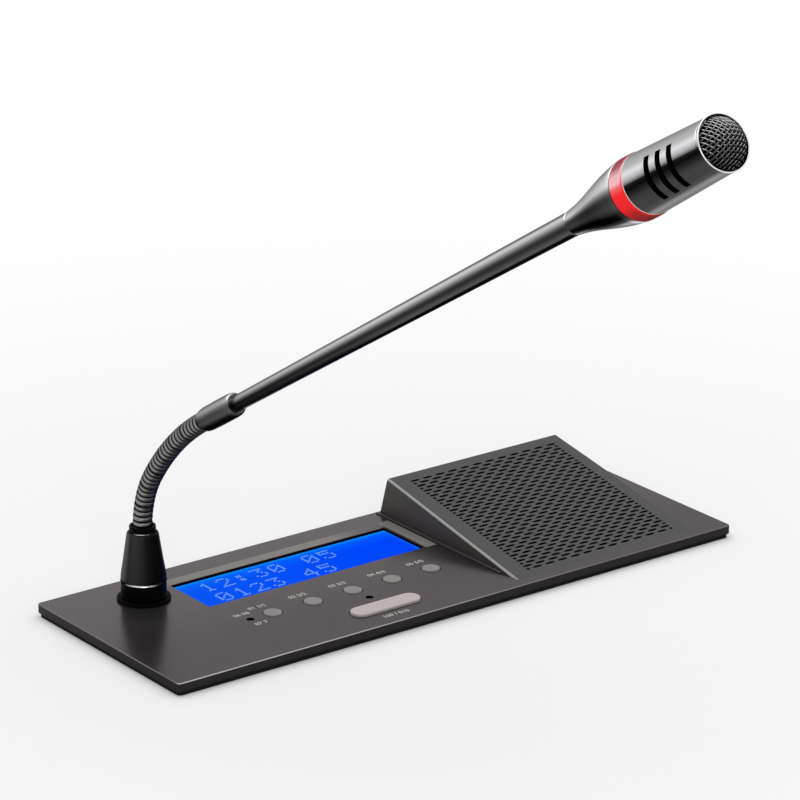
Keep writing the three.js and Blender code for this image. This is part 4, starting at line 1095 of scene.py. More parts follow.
def bar(length: float, width: float, low: float, high: float, steps: int = 16) -> Shape:
    """Makes a bar with round ends, its length along X.

    Args:
        length: Its full length.
        width: Its width.
        low: The height of its foot.
        high: The height of its top.
        steps: The number of steps round each end.

    Returns:
        The bar, centred on the origin.
    """
    shape = bmesh.new()
    bmesh.ops.create_circle(shape, cap_ends=False, segments=steps * 4, radius=width / 2)
    reach = (length - width) / 2
    ends = [[v for v in shape.verts if v.co.x * side > 1e-6] for side in (1, -1)]
    for side, verts in zip((1, -1), ends):
        bmesh.ops.translate(shape, vec=(side * reach, 0, 0), verts=verts)
    face = bmesh.ops.contextual_create(shape, geom=shape.edges)["faces"]
    bmesh.ops.translate(shape, vec=(0, 0, low), verts=shape.verts)
    grown = bmesh.ops.extrude_face_region(shape, geom=face, use_keep_orig=True)["geom"]
    top = [v for v in grown if isinstance(v, bmesh.types.BMVert)]
    bmesh.ops.translate(shape, vec=(0, 0, high - low), verts=top)
    bmesh.ops.recalc_face_normals(shape, faces=shape.faces)
    return shape


def merged(*shapes: Shape) -> Shape:
    """Gathers shapes into the first one's mesh, and frees the others.

    Args:
        shapes: The shapes.

    Returns:
        The first one, with all of them in it.
    """
    whole = shapes[0]
    for shape in shapes[1:]:
        carrier = bpy.data.meshes.new("carrier")
        shape.to_mesh(carrier)
        shape.free()
        whole.from_mesh(carrier)
        bpy.data.meshes.remove(carrier)
    return whole


def swept(stations: Sequence[tuple[Matrix, float]], sides: int, marks: Sequence[float] = ()) -> Shape:
    """Extrudes a circle from station to station.

    Args:
        stations: The place of each ring, and its radius in the units of that place.
        sides: The number of sides of the circle.
        marks: A value for each ring, kept on its vertices for the finish.

    Returns:
        The swept shape, closed at its ends.
    """
    shape = bmesh.new()
    layer = shape.verts.layers.float.new(RIB_LAYER) if marks else None
    places = [matrix @ Matrix.Scale(radius, 4) for matrix, radius in stations]
    ring = bmesh.ops.create_circle(shape, cap_ends=False, segments=sides, radius=1.0)["verts"]
    bmesh.ops.transform(shape, matrix=places[0], verts=ring)
    first = edges = list(shape.edges)
    for index, (before, after) in enumerate(zip(places, places[1:]), 1):
        grown = bmesh.ops.extrude_edge_only(shape, edges=edges)["geom"]
        ring = [v for v in grown if isinstance(v, bmesh.types.BMVert)]
        edges = [e for e in grown if isinstance(e, bmesh.types.BMEdge)]
        bmesh.ops.transform(shape, matrix=after @ before.inverted(), verts=ring)
        for vert in ring if marks else ():
            vert[layer] = marks[index]
    bmesh.ops.edgeloop_fill(shape, edges=first)
    bmesh.ops.edgeloop_fill(shape, edges=edges)
    bmesh.ops.recalc_face_normals(shape, faces=shape.faces)
    return shape


@dataclass
class Panel:
    """The flat panel with its openings, and the printed numbers on it."""

    length: float = 220.0
    depth: float = 80.0
    thickness: float = 3.0
    corner: float = 1.5
    edge: float = 0.28
    overrun: float = 1.0
    window_low: tuple[float, float] = (42.0, 44.8)
    window_high: tuple[float, float] = (126.5, 66.9)
    keys: int = 5
    key_row: float = 28.9
    key_first: float = 55.1
    key_pitch: float = 15.55
    key_hole: float = 6.6
    talk_centre: tuple[float, float] = (86.9, 12.4)
    talk_hole: tuple[float, float] = (26.6, 7.6)
    light_centres: tuple[tuple[float, float], ...] = ((46.5, 28.8), (87.1, 21.1))
    light_hole: float = 2.6
    socket_centre: tuple[float, float] = (29.4, 63.0)
    socket_hole: float = 13.0
    speaker_centre: tuple[float, float] = (170.0, 40.0)
    speaker_hole: float = 46.0
    lug: tuple[float, float, float] = (3.0, 9.0, 8.5)
    lug_face: float = 100.5
    lug_row: float = 23.0
    lug_overlap: float = 0.3
    print_height: float = 0.03
    number_size: float = 2.6
    number_weight: float = 0.08
    number_shift: tuple[float, float] = (-1.2, 6.9)

    def key_centres(self) -> list[tuple[float, float]]:
        """Returns the centre of each round key."""
        return [(self.key_first + i * self.key_pitch, self.key_row) for i in range(self.keys)]

    def through(self) -> tuple[float, float]:
        """Returns the foot and the top of a cutter that goes through the panel."""
        return -self.thickness - self.overrun, self.overrun

    def drill(self, centre: tuple[float, float], width: float, steps: int = MEDIUM) -> Shape:
        """Returns a round cutter through the panel."""
        return set_at(peg(width / 2, *self.through(), steps), upright(*centre))

    def cutters(self) -> list[Shape]:
        """Makes every cutter for the panel's openings.

        Returns:
            The cutters.
        """
        low, high = self.through()
        window = block((*self.window_low, low), (*self.window_high, high))
        talk = bar(*self.talk_hole, low, high)
        tools = [set_at(window, upright(0, 0)), set_at(talk, upright(*self.talk_centre))]
        tools += [self.drill(centre, self.key_hole) for centre in self.key_centres()]
        tools += [self.drill(centre, self.light_hole, COARSE) for centre in self.light_centres]
        tools += [self.drill(self.socket_centre, self.socket_hole)]
        tools += [self.drill(self.speaker_centre, self.speaker_hole)]
        return tools

    def build(self, shop: Workshop) -> None:
        """Makes the panel, with its lugs for the side screws, and its numbers.

        Args:
            shop: Makes the pieces.
        """
        plate = block((0, 0, -self.thickness), (self.length, self.depth, 0))
        posts = [e for e in plate.edges if abs((e.verts[0].co - e.verts[1].co).normalized().z) > 0.9]
        eased(rounded(plate, posts, self.corner, 6), self.edge, 3, 40.0)
        made = shop.object_of("panel_plate", set_at(plate, upright(0, 0)), Coats.PANEL)
        drills = merged(*self.cutters())
        shop.cut(made, shop.object_of("panel_drills", drills))
        lugs = merged(*self.lugs())
        shop.cut(made, shop.object_of("panel_lugs", lugs), joined=True)
        shop.smooth(made, 11.0)
        shop.settle(made, "unit", "panel_paint", ["top_panel"])
        self.numbers(shop)

    def lugs(self) -> list[Shape]:
        """Makes the four lugs under the panel's ends, which the side screws hold.

        Returns:
            The lugs.
        """
        thick, wide, tall = self.lug
        low, high = -self.thickness - tall, -self.thickness + self.lug_overlap
        made = []
        for side in (-1, 1):
            for row in (-self.lug_row, self.lug_row):
                x = self.length / 2 + side * (self.lug_face - thick / 2)
                y = self.depth / 2 + row
                lug = block((x - thick / 2, y - wide / 2, low), (x + thick / 2, y + wide / 2, high))
                made.append(set_at(lug, upright(0, 0)))
        return made

    def numbers(self, shop: Workshop) -> None:
        """Prints plain numbers by the keys, the light and the talk bar.

        Args:
            shop: Makes the pieces.
        """
        left, up = self.number_shift
        centres = enumerate(self.key_centres(), 1)
        marks = [(f"0{number} {number}/{number}", x + left, y + up) for number, (x, y) in centres]
        marks += [("06 06", 46.4, 33.6), ("07 7", 47.6, 24.3)]
        marks += [("100 / 010", self.talk_centre[0] + left, 5.2)]
        for number, (text, x, y) in enumerate(marks, 1):
            self.print_mark(shop, f"number_{number}", text, x, y)

    def print_mark(self, shop: Workshop, name: str, text: str, x: float, y: float) -> None:
        """Prints one mark on the panel.

        Args:
            shop: Makes the piece.
            name: The piece's name.
            text: What is printed.
            x: Where its middle is, from the panel's left end.
            y: Where its middle is, from the panel's front edge.
        """
        curve = bpy.data.curves.new(name, "FONT")
        curve.body = text
        curve.size = self.number_size
        curve.align_x = "CENTER"
        curve.align_y = "CENTER"
        curve.extrude = self.print_height / 2
        curve.offset = self.number_weight
        curve.resolution_u = 2
        drawn = linked(name, curve)
        graph = bpy.context.evaluated_depsgraph_get()
        mesh = bpy.data.meshes.new_from_object(drawn.evaluated_get(graph))
        bpy.data.objects.remove(drawn)
        shape = bmesh.new()
        shape.from_mesh(mesh)
        bpy.data.meshes.remove(mesh)
        set_at(shape, upright(x, y, self.print_height / 2))
        shop.piece(name, shape, Coats.LABEL, "unit", "key_plastic", angle=20.0)


@dataclass
class Display:
    """The blue window and its rows of dot digits."""

    rows: tuple[tuple[str, float, float], ...] = (("12:30 05", 50.0, 57.6), ("0123 45", 50.0, 48.0))
    dot: float = 0.66
    dot_pitch: float = 0.98
    digit_pitch: float = 6.7
    lift: float = 0.06
    surface: float = -0.9
    font: Mapping[str, tuple[str, ...]] = field(
        default_factory=lambda: {
            "0": ("01110", "10001", "10011", "10101", "11001", "10001", "01110"),
            "1": ("00100", "01100", "00100", "00100", "00100", "00100", "01110"),
            "2": ("01110", "10001", "00001", "00010", "00100", "01000", "11111"),
            "3": ("11111", "00010", "00100", "00010", "00001", "10001", "01110"),
            "4": ("00010", "00110", "01010", "10010", "11111", "00010", "00010"),
            "5": ("11111", "10000", "11110", "00001", "00001", "10001", "01110"),
            ":": ("00000", "01100", "01100", "00000", "01100", "01100", "00000"),
        }
    )

    def dots(self) -> Iterable[Matrix]:
        """Places every lit dot.

        Yields:
            The place of a dot.
        """
        for text, left, low in self.rows:
            for index, sign in enumerate(text):
                for row, line in enumerate(self.font.get(sign, ())):
                    for column, lit in enumerate(line):
                        if lit == "1":
                            x = left + index * self.digit_pitch + column * self.dot_pitch
                            y = low + (len(self.font[sign]) - 1 - row) * self.dot_pitch
                            yield upright(x, y, self.surface) @ Matrix.Translation((0, 0, self.lift))

    def build(self, shop: Workshop) -> None:
        """Dresses the window and sets the digits on it.

        Args:
            shop: Makes the pieces.
        """
        shape = bmesh.new()
        size = Matrix.Diagonal((self.dot, self.dot, self.lift, 1.0))
        for matrix in self.dots():
            bmesh.ops.create_cube(shape, size=1.0, matrix=matrix @ size)
        shop.piece("display_digits", shape, Coats.DIGITS, "unit", "display_blue", angle=20.0)
        shop.dress(Coats.WINDOW, "display_lens")
        shop.dress(Coats.MOULDED_BLACK, "display_frame")
        shop.dress(Coats.BOARD, "display_board", "main_board")
        shop.dress(Coats.BRIGHT, *[f"board_spacer_{i}" for i in range(1, 5)])


@dataclass
class SpeakerCover:
    """The wedge with its slotted grille, the liner and lip round it, and the loudspeaker under it."""

    left: float = 133.4
    right: float = 207.2
    front: float = 4.1
    back: float = 78.6
    height: float = 13.1
    top_back: float = 75.7
    side_draft: float = 1.0
    wall: float = 1.2
    edge: float = 0.85
    sunk: tuple[float, float] = (3.0, 2.4)
    hollow_front: float = 0.6
    overrun: float = 1.0
    lip: tuple[float, float] = (0.9, 0.45)
    lip_gap: float = 0.25
    lip_start: float = 8.0
    liner: tuple[float, float] = (1.8, 16.0)
    liner_end: float = 4.0
    liner_heights: tuple[float, float] = (0.02, 0.12)
    slot: tuple[float, float] = (3.6, 1.1)
    end_slot: float = 1.3
    slot_reach: tuple[float, float] = (1.6, 1.2)
    columns: int = 12
    rows: int = 36
    column_pitch: float = 5.24
    row_pitch: float = 1.771
    first: tuple[float, float] = (142.15, 8.35)

    def slope(self) -> float:
        """Returns the rise of the top for each millimetre of depth."""
        return self.height / (self.top_back - self.front)

    def level(self, y: float) -> float:
        """Returns the top's height at a distance from the panel's front edge."""
        return (y - self.front) * self.slope()

    def wedge(self, inset: float, drop: float, low: float) -> Shape:
        """Makes the drafted wedge.

        Args:
            inset: How far its sides are moved in.
            drop: How far its top is lowered.
            low: The height of its foot.

        Returns:
            The wedge.
        """
        shape = block((0, 0, 0), (1, 1, 1))
        hollow = self.front + (drop + self.hollow_front) / self.slope()
        front = hollow if drop > 0 else self.front - self.sunk[0]
        for vert in shape.verts:
            right, back, top = (round(c) for c in vert.co)
            y = self.top_back - inset if back else front
            z = self.level(y) - drop if top else low
            if back and not top:
                y = self.back - inset - (self.back - self.top_back) * low / self.height
            lean = inset + self.side_draft * z / self.height
            vert.co = (self.right - lean if right else self.left + lean, y, z)
        return shape

    def spots(self) -> Iterable[tuple[float, float, bool]]:
        """Places every slot of the grille.

        Yields:
            The middle of a slot, and whether it is one of the short ones that end a row.
        """
        for row in range(self.rows):
            y = self.first[1] + row * self.row_pitch
            full = (self.rows - 1 - row) % 2 == 0
            shift = 0.0 if full else 0.5
            for column in range(self.columns - (0 if full else 1)):
                yield self.first[0] + (column + shift) * self.column_pitch, y, False
            if not full:
                inward = (self.slot[0] - self.end_slot) / 2
                yield self.first[0] - inward, y, True
                yield self.first[0] + (self.columns - 1) * self.column_pitch + inward, y, True

    def slots(self) -> Shape:
        """Makes the cutters of every slot of the grille.

        Returns:
            One shape with all of them.
        """
        shape = bmesh.new()
        tilt = Matrix.Rotation(math.atan(self.slope()), 4, "X")
        carriers = []
        for length in (self.slot[0], self.end_slot):
            under, over = self.slot_reach
            pattern = bar(length, self.slot[1], -self.wall * under, self.wall * over, 2)
            carriers.append(bpy.data.meshes.new("slot_pattern"))
            pattern.to_mesh(carriers[-1])
            pattern.free()
        for x, y, short in self.spots():
            before = len(shape.verts)
            shape.from_mesh(carriers[short])
            shape.verts.ensure_lookup_table()
            matrix = upright(x, y, self.level(y)) @ tilt
            bmesh.ops.transform(shape, matrix=matrix, verts=shape.verts[before:])
        for carrier in carriers:
            bpy.data.meshes.remove(carrier)
        return shape

    def build(self, shop: Workshop) -> None:
        """Makes the cover and dresses the loudspeaker.

        Args:
            shop: Makes the pieces.
        """
        outer = self.wedge(0.0, 0.0, -self.sunk[1])
        upper = [e for e in outer.edges if sum(v.co.z for v in e.verts) > self.height / 2]
        rounded(outer, upper, self.edge, 4)
        cover = shop.object_of("cover_shell", set_at(outer, upright(0, 0)), Coats.COVER)
        hollow = self.wedge(self.wall, self.wall, -self.sunk[1] - self.overrun)
        inner = shop.object_of("cover_hollow", set_at(hollow, upright(0, 0)))
        # The slots' cut walls take the dark cloth finish: painted shade inside the slots.
        slots = shop.object_of("cover_slots", self.slots(), Coats.CLOTH)
        shop.cut(cover, inner)
        shop.cut(cover, slots)
        shop.even(cover, 35.0)
        shop.settle(cover, "unit", "cover_paint", ["speaker_cover"])
        self.build_liner(shop)
        self.build_lip(shop)
        shop.dress(Coats.CLOTH, "grille_cloth")
        shop.dress(Coats.SHEET, "speaker_basket", "speaker_magnet")
        shop.dress(Coats.CONE, "speaker_cone")

    def build_liner(self, shop: Workshop) -> None:
        """Lays the dark liner under the front rows of the grille, where the cover is low.

        Args:
            shop: Makes the pieces.
        """
        near, far = self.liner
        low, high = self.liner_heights
        left, right = self.left + self.liner_end, self.right - self.liner_end
        shape = block((left, self.front + near, low), (right, self.front + far, high))
        shop.piece("grille_liner", set_at(shape, upright(0, 0)), Coats.CLOTH, "unit", "dust_cloth")

    def build_lip(self, shop: Workshop) -> None:
        """Makes the low lip beside the cover's two ends, with a groove between it and the cover.

        Args:
            shop: Makes the pieces.
        """
        wide, tall = self.lip
        low = self.liner_heights[0]
        front, back = self.front + self.lip_start, self.back + self.lip_gap
        left, right = self.left - self.lip_gap, self.right + self.lip_gap
        left_lip = block((left - wide, front, low), (left, back, tall))
        right_lip = block((right, front, low), (right + wide, back, tall))
        shape = eased(merged(left_lip, right_lip), 0.15, 2)
        shop.piece("cover_lip", set_at(shape, upright(0, 0)), Coats.LIP, "unit", "cover_paint")


@dataclass
class Keys:
    """The round keys, the talk bar, their switches and the two lights."""

    radius: float = 3.0
    proud: float = 0.5
    crown: float = 0.22
    flange: tuple[float, float] = (3.9, 0.8)
    stem_radius: float = 1.7
    stem_foot: float = -6.5
    flange_top: float = -3.3
    talk_size: tuple[float, float] = (26.0, 7.0)
    talk_proud: float = 0.8
    talk_edge: float = 0.45
    guide_radius: float = 1.2
    guide_reach: float = 9.5
    guide_foot: float = -10.9

    def round_key(self) -> Shape:
        """Makes one round key, drawn about its axis.

        Returns:
            The key.
        """
        wide, thick = self.flange
        low = self.flange_top - thick
        shares = (0.97, 0.9, 0.75, 0.55, 0.3)
        dome = [(self.radius * share, self.proud - self.crown * share**3) for share in shares]
        return spun(
            [
                (0, self.stem_foot), (self.stem_radius, self.stem_foot), (self.stem_radius, low),
                (wide, low), (wide, self.flange_top), (self.radius, self.flange_top),
                (self.radius, self.proud - 1.7 * self.crown), *dome, (0, self.proud),
            ],
            MEDIUM,
        )

    def talk_bar(self) -> Shape:
        """Makes the talk bar with its flange, stem and guides.

        Returns:
            The bar.
        """
        cap = bar(*self.talk_size, self.flange_top, self.talk_proud)
        eased(cap, self.talk_edge, 4, 60.0)
        wide, thick = self.flange
        low = self.flange_top - thick
        length, width = (size + 2 * (wide - self.radius) for size in self.talk_size)
        flange = bar(length, width, low, self.flange_top)
        stem = peg(self.stem_radius, self.stem_foot, low)
        guides = [
            set_at(peg(self.guide_radius, self.guide_foot, low), Matrix.Translation((reach, 0, 0)))
            for reach in (-self.guide_reach, self.guide_reach)
        ]
        return merged(cap, flange, stem, *guides)

    def build(self, shop: Workshop, panel: Panel) -> None:
        """Makes the keys at the panel's holes.

        Args:
            shop: Makes the pieces.
            panel: Holds the keys' places.
        """
        for number, centre in enumerate(panel.key_centres(), 1):
            shape = set_at(self.round_key(), upright(*centre))
            body, node = f"round_key_{number}", f"key_{number}"
            shop.piece(f"key_cap_{number}", shape, Coats.KEY, body, "key_plastic", [node])
            shop.dress(Coats.MOULDED_BLACK, f"key_switch_{number}")
        talk = set_at(self.talk_bar(), upright(*panel.talk_centre))
        shop.piece("talk_bar_cap", talk, Coats.TALK, "talk_bar", "talk_plastic", ["talk_key"])
        shop.dress(Coats.MOULDED_BLACK, "talk_switch")
        shop.dress(Coats.HOLE_LAMP, "speak_light", "talk_light")


@dataclass
class Socket:
    """The socket's flange, the lock collar and the plug's sleeve."""

    flange: tuple[float, float, float] = (6.5, 8.6, 0.95)
    flange_foot: float = 0.1
    collar_radius: float = 7.25
    collar_foot: float = 1.2
    collar_top: float = 6.6
    collar_bore: float = 6.5
    lip_bore: float = 4.8
    lip: float = 1.1
    sleeve_foot: float = 6.9
    sleeve_top: float = 22.8
    sleeve_radii: tuple[float, float] = (7.3, 5.05)
    room: tuple[float, float] = (5.9, 14.0)
    neck_bore: float = 3.45
    band: tuple[float, float, float] = (22.9, 25.0, 4.25)
    foot_seam: tuple[float, float, float, float] = (6.0, 7.33, 6.2, 0.9)
    band_seam: tuple[float, float, float, float] = (3.45, 4.37, 22.8, 0.55)

    def build(self, shop: Workshop, centre: tuple[float, float]) -> None:
        """Makes the turned pieces round the socket.

        Args:
            shop: Makes the pieces.
            centre: The socket's place on the panel.
        """
        at = upright(*centre)
        bore, wide, thick = self.flange
        flange = set_at(eased(tube(bore, wide, self.flange_foot, thick), 0.25, 3), at)
        shop.piece("flange_ring", flange, Coats.MATT_BLACK, "unit", "black_gloss", ["socket_flange"])
        collar = set_at(self.collar(), at)
        shop.piece("collar_ring", collar, Coats.COLLAR, "collar", "black_gloss", ["lock_collar"])
        base = "microphone_base"
        # The two seam beads carry a painted highlight at the front.
        seam = set_at(self.bead(*self.foot_seam), at)
        shop.piece("sleeve_seam", seam, Coats.SEAM, base, "bright_metal")
        sleeve = set_at(self.sleeve(), at)
        shop.piece("sleeve_shell", sleeve, Coats.SLEEVE, base, "black_gloss", ["plug_sleeve"])
        low, high, radius = self.band
        ring = set_at(eased(tube(self.neck_bore, radius, low, high), 0.3, 3), at)
        shop.piece("sleeve_band", ring, Coats.COLLAR, base, "bright_metal", ["sleeve_ring"])
        seam = set_at(self.bead(*self.band_seam), at)
        shop.piece("band_seam", seam, Coats.SEAM, base, "bright_metal")
        shop.dress(Coats.PLUG, "plug_body", "socket_nut")
        shop.dress(Coats.GUNMETAL, "microphone_socket")
        shop.dress(Coats.MOULDED_BLACK, "socket_insert")

    def bead(self, bore: float, radius: float, low: float, tall: float) -> Shape:
        """Returns a thin bead with a rounded flank.

        Args:
            bore: Its inner radius.
            radius: Its outer radius.
            low: The height of its foot.
            tall: Its height.

        Returns:
            The bead.
        """
        flank = [(0.0, 0.0), (0.0, 0.2), (0.06, 0.5), (0.0, 0.8), (0.0, 1.0)]
        ease = [0.3, 0.06, 0.0, 0.06, 0.3]
        outer = [(radius + bulge - cut, low + tall * share) for (bulge, share), cut in zip(flank, ease)]
        return spun([(bore, low), *outer, (bore, low + tall)], FINE, ring=True)

    def collar(self) -> Shape:
        """Makes the lock collar, with an eased top and a fine line near its foot.

        Returns:
            The collar.
        """
        radius, low, top = self.collar_radius, self.collar_foot, self.collar_top
        profile = [
            (self.collar_bore, low), (radius, low), (radius, low + 0.8), (radius - 0.12, low + 0.9),
            (radius - 0.12, low + 1.1), (radius, low + 1.2), (radius, top - 0.5),
            (radius - 0.15, top - 0.15), (radius - 0.5, top), (self.lip_bore, top),
            (self.lip_bore, top - self.lip), (self.collar_bore, top - self.lip),
        ]
        return spun(profile, ring=True)

    def sleeve(self) -> Shape:
        """Makes the tapered sleeve with its rounded foot and top.

        Returns:
            The sleeve.
        """
        foot, tip = self.sleeve_radii
        low, top = self.sleeve_foot, self.sleeve_top
        room, room_top = self.room
        profile = [
            (room, low), (foot - 0.6, low), (foot - 0.15, low + 0.2), (foot, low + 0.6),
            (foot - 0.08, low + 1.6), (foot - 0.4, low + 3.6), (foot - 0.95, low + 7.0),
            (tip + 0.55, top - 3.8), (tip + 0.22, top - 1.6), (tip + 0.05, top - 0.6),
            (tip - 0.15, top - 0.2), (tip - 0.5, top), (self.neck_bore, top),
            (self.neck_bore, room_top + 1.2), (room, room_top),
        ]
        return spun(profile, FINE, ring=True)


@dataclass
class Gooseneck:
    """The ribbed gooseneck: seven lengths of winding, one round each joint."""

    foot: tuple[float, float] = (29.4, 63.0)
    radii: tuple[float, float] = (35.0, 98.0)
    turns: tuple[float, float] = (math.radians(36.2), math.radians(22.6))
    crest: float = 3.15
    groove: float = 2.62
    rib_pitch: float = 2.05
    first_pivot: float = 5.6
    pivot_pitch: float = 8.2
    pivots: int = 7
    bend_reach: float = 3.5
    foot_in_sleeve: float = 7.5
    end_in_ferrule: float = 1.0
    sides: int = 32

    def length(self) -> float:
        """Returns the gooseneck's length above its foot."""
        return sum(radius * turn for radius, turn in zip(self.radii, self.turns))

    def angle(self, along: float) -> float:
        """Finds how far the gooseneck leans forward.

        Args:
            along: Millimetres along the centreline from the gooseneck's foot.

        Returns:
            The lean, in radians.
        """
        first = self.radii[0] * self.turns[0]
        if along <= 0:
            return 0.0
        if along <= first:
            return along / self.radii[0]
        return min(self.turns[0] + (along - first) / self.radii[1], sum(self.turns))

    def reach(self, along: float) -> tuple[float, float]:
        """Finds where the centreline is.

        Args:
            along: Millimetres along the centreline from the gooseneck's foot.

        Returns:
            How far forward it is, and how far up.
        """
        lean = self.angle(along)
        first = min(lean, self.turns[0])
        near, far = self.radii
        forward = near * (1 - math.cos(first)) + far * (math.cos(first) - math.cos(max(lean, first)))
        upward = near * math.sin(first) + far * (math.sin(max(lean, first)) - math.sin(first))
        past = min(along, 0.0) + max(along - self.length(), 0.0)
        return forward + past * math.sin(lean), upward + past * math.cos(lean)

    def point(self, along: float) -> Vector:
        """Returns the centreline's point at a length, in the frame."""
        forward, upward = self.reach(along)
        return place(self.foot[0], self.foot[1] - forward, NECK_FOOT_HEIGHT + upward)

    def station(self, along: float) -> Matrix:
        """Returns the matrix that lays a ring square to the centreline."""
        return Matrix.Translation(self.point(along)) @ Matrix.Rotation(self.angle(along), 4, "X")

    def axis(self) -> Matrix:
        """Returns the matrix that sets a turned piece on the rod's axis, in millimetres."""
        return self.station(self.length()) @ Matrix.Scale(MM, 4)

    def rib_radius(self, along: float) -> float:
        """Finds the winding's radius: a round rib in each pitch.

        Args:
            along: Millimetres along the centreline from the gooseneck's foot.

        Returns:
            The radius.
        """
        phase = (along / self.rib_pitch) % 1.0
        lift = max(0.0, 1.0 - abs(2 * phase - 1) ** 3.2)
        return self.groove + (self.crest - self.groove) * lift**0.6

    def stretch(self, start: float, end: float) -> Shape:
        """Makes a length of the winding.

        Args:
            start: Where it starts along the centreline, in millimetres.
            end: Where it ends.

        Returns:
            The winding.
        """
        steps = max(8, round((end - start) / self.rib_pitch * 8))
        spots = [start + (end - start) * i / steps for i in range(steps + 1)]
        stations = [(self.station(spot), self.rib_radius(spot) * MM) for spot in spots]
        marks = [(self.rib_radius(spot) - self.groove) / (self.crest - self.groove) for spot in spots]
        return swept(stations, self.sides, marks)

    def build(self, shop: Workshop) -> None:
        """Makes the lengths of winding, one round each pivot.

        Args:
            shop: Makes the pieces.
        """
        nodes = ["neck_foot", *[f"neck_link_{i}" for i in range(1, 7)]]
        half = self.pivot_pitch / 2
        for index in range(self.pivots):
            pivot = self.first_pivot + index * self.pivot_pitch
            start = pivot - half if index else -self.foot_in_sleeve
            end = pivot + half if index < self.pivots - 1 else self.length() + self.end_in_ferrule
            made = shop.object_of(f"winding_{index + 1}", self.stretch(start, end), Coats.WINDING)
            shop.smooth(made, 60.0)
            low, high = (tuple(self.point(pivot + side * self.bend_reach)) for side in (-1, 1))
            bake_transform(made)
            shop.settle(made, None, "spring_steel", [nodes[index]])


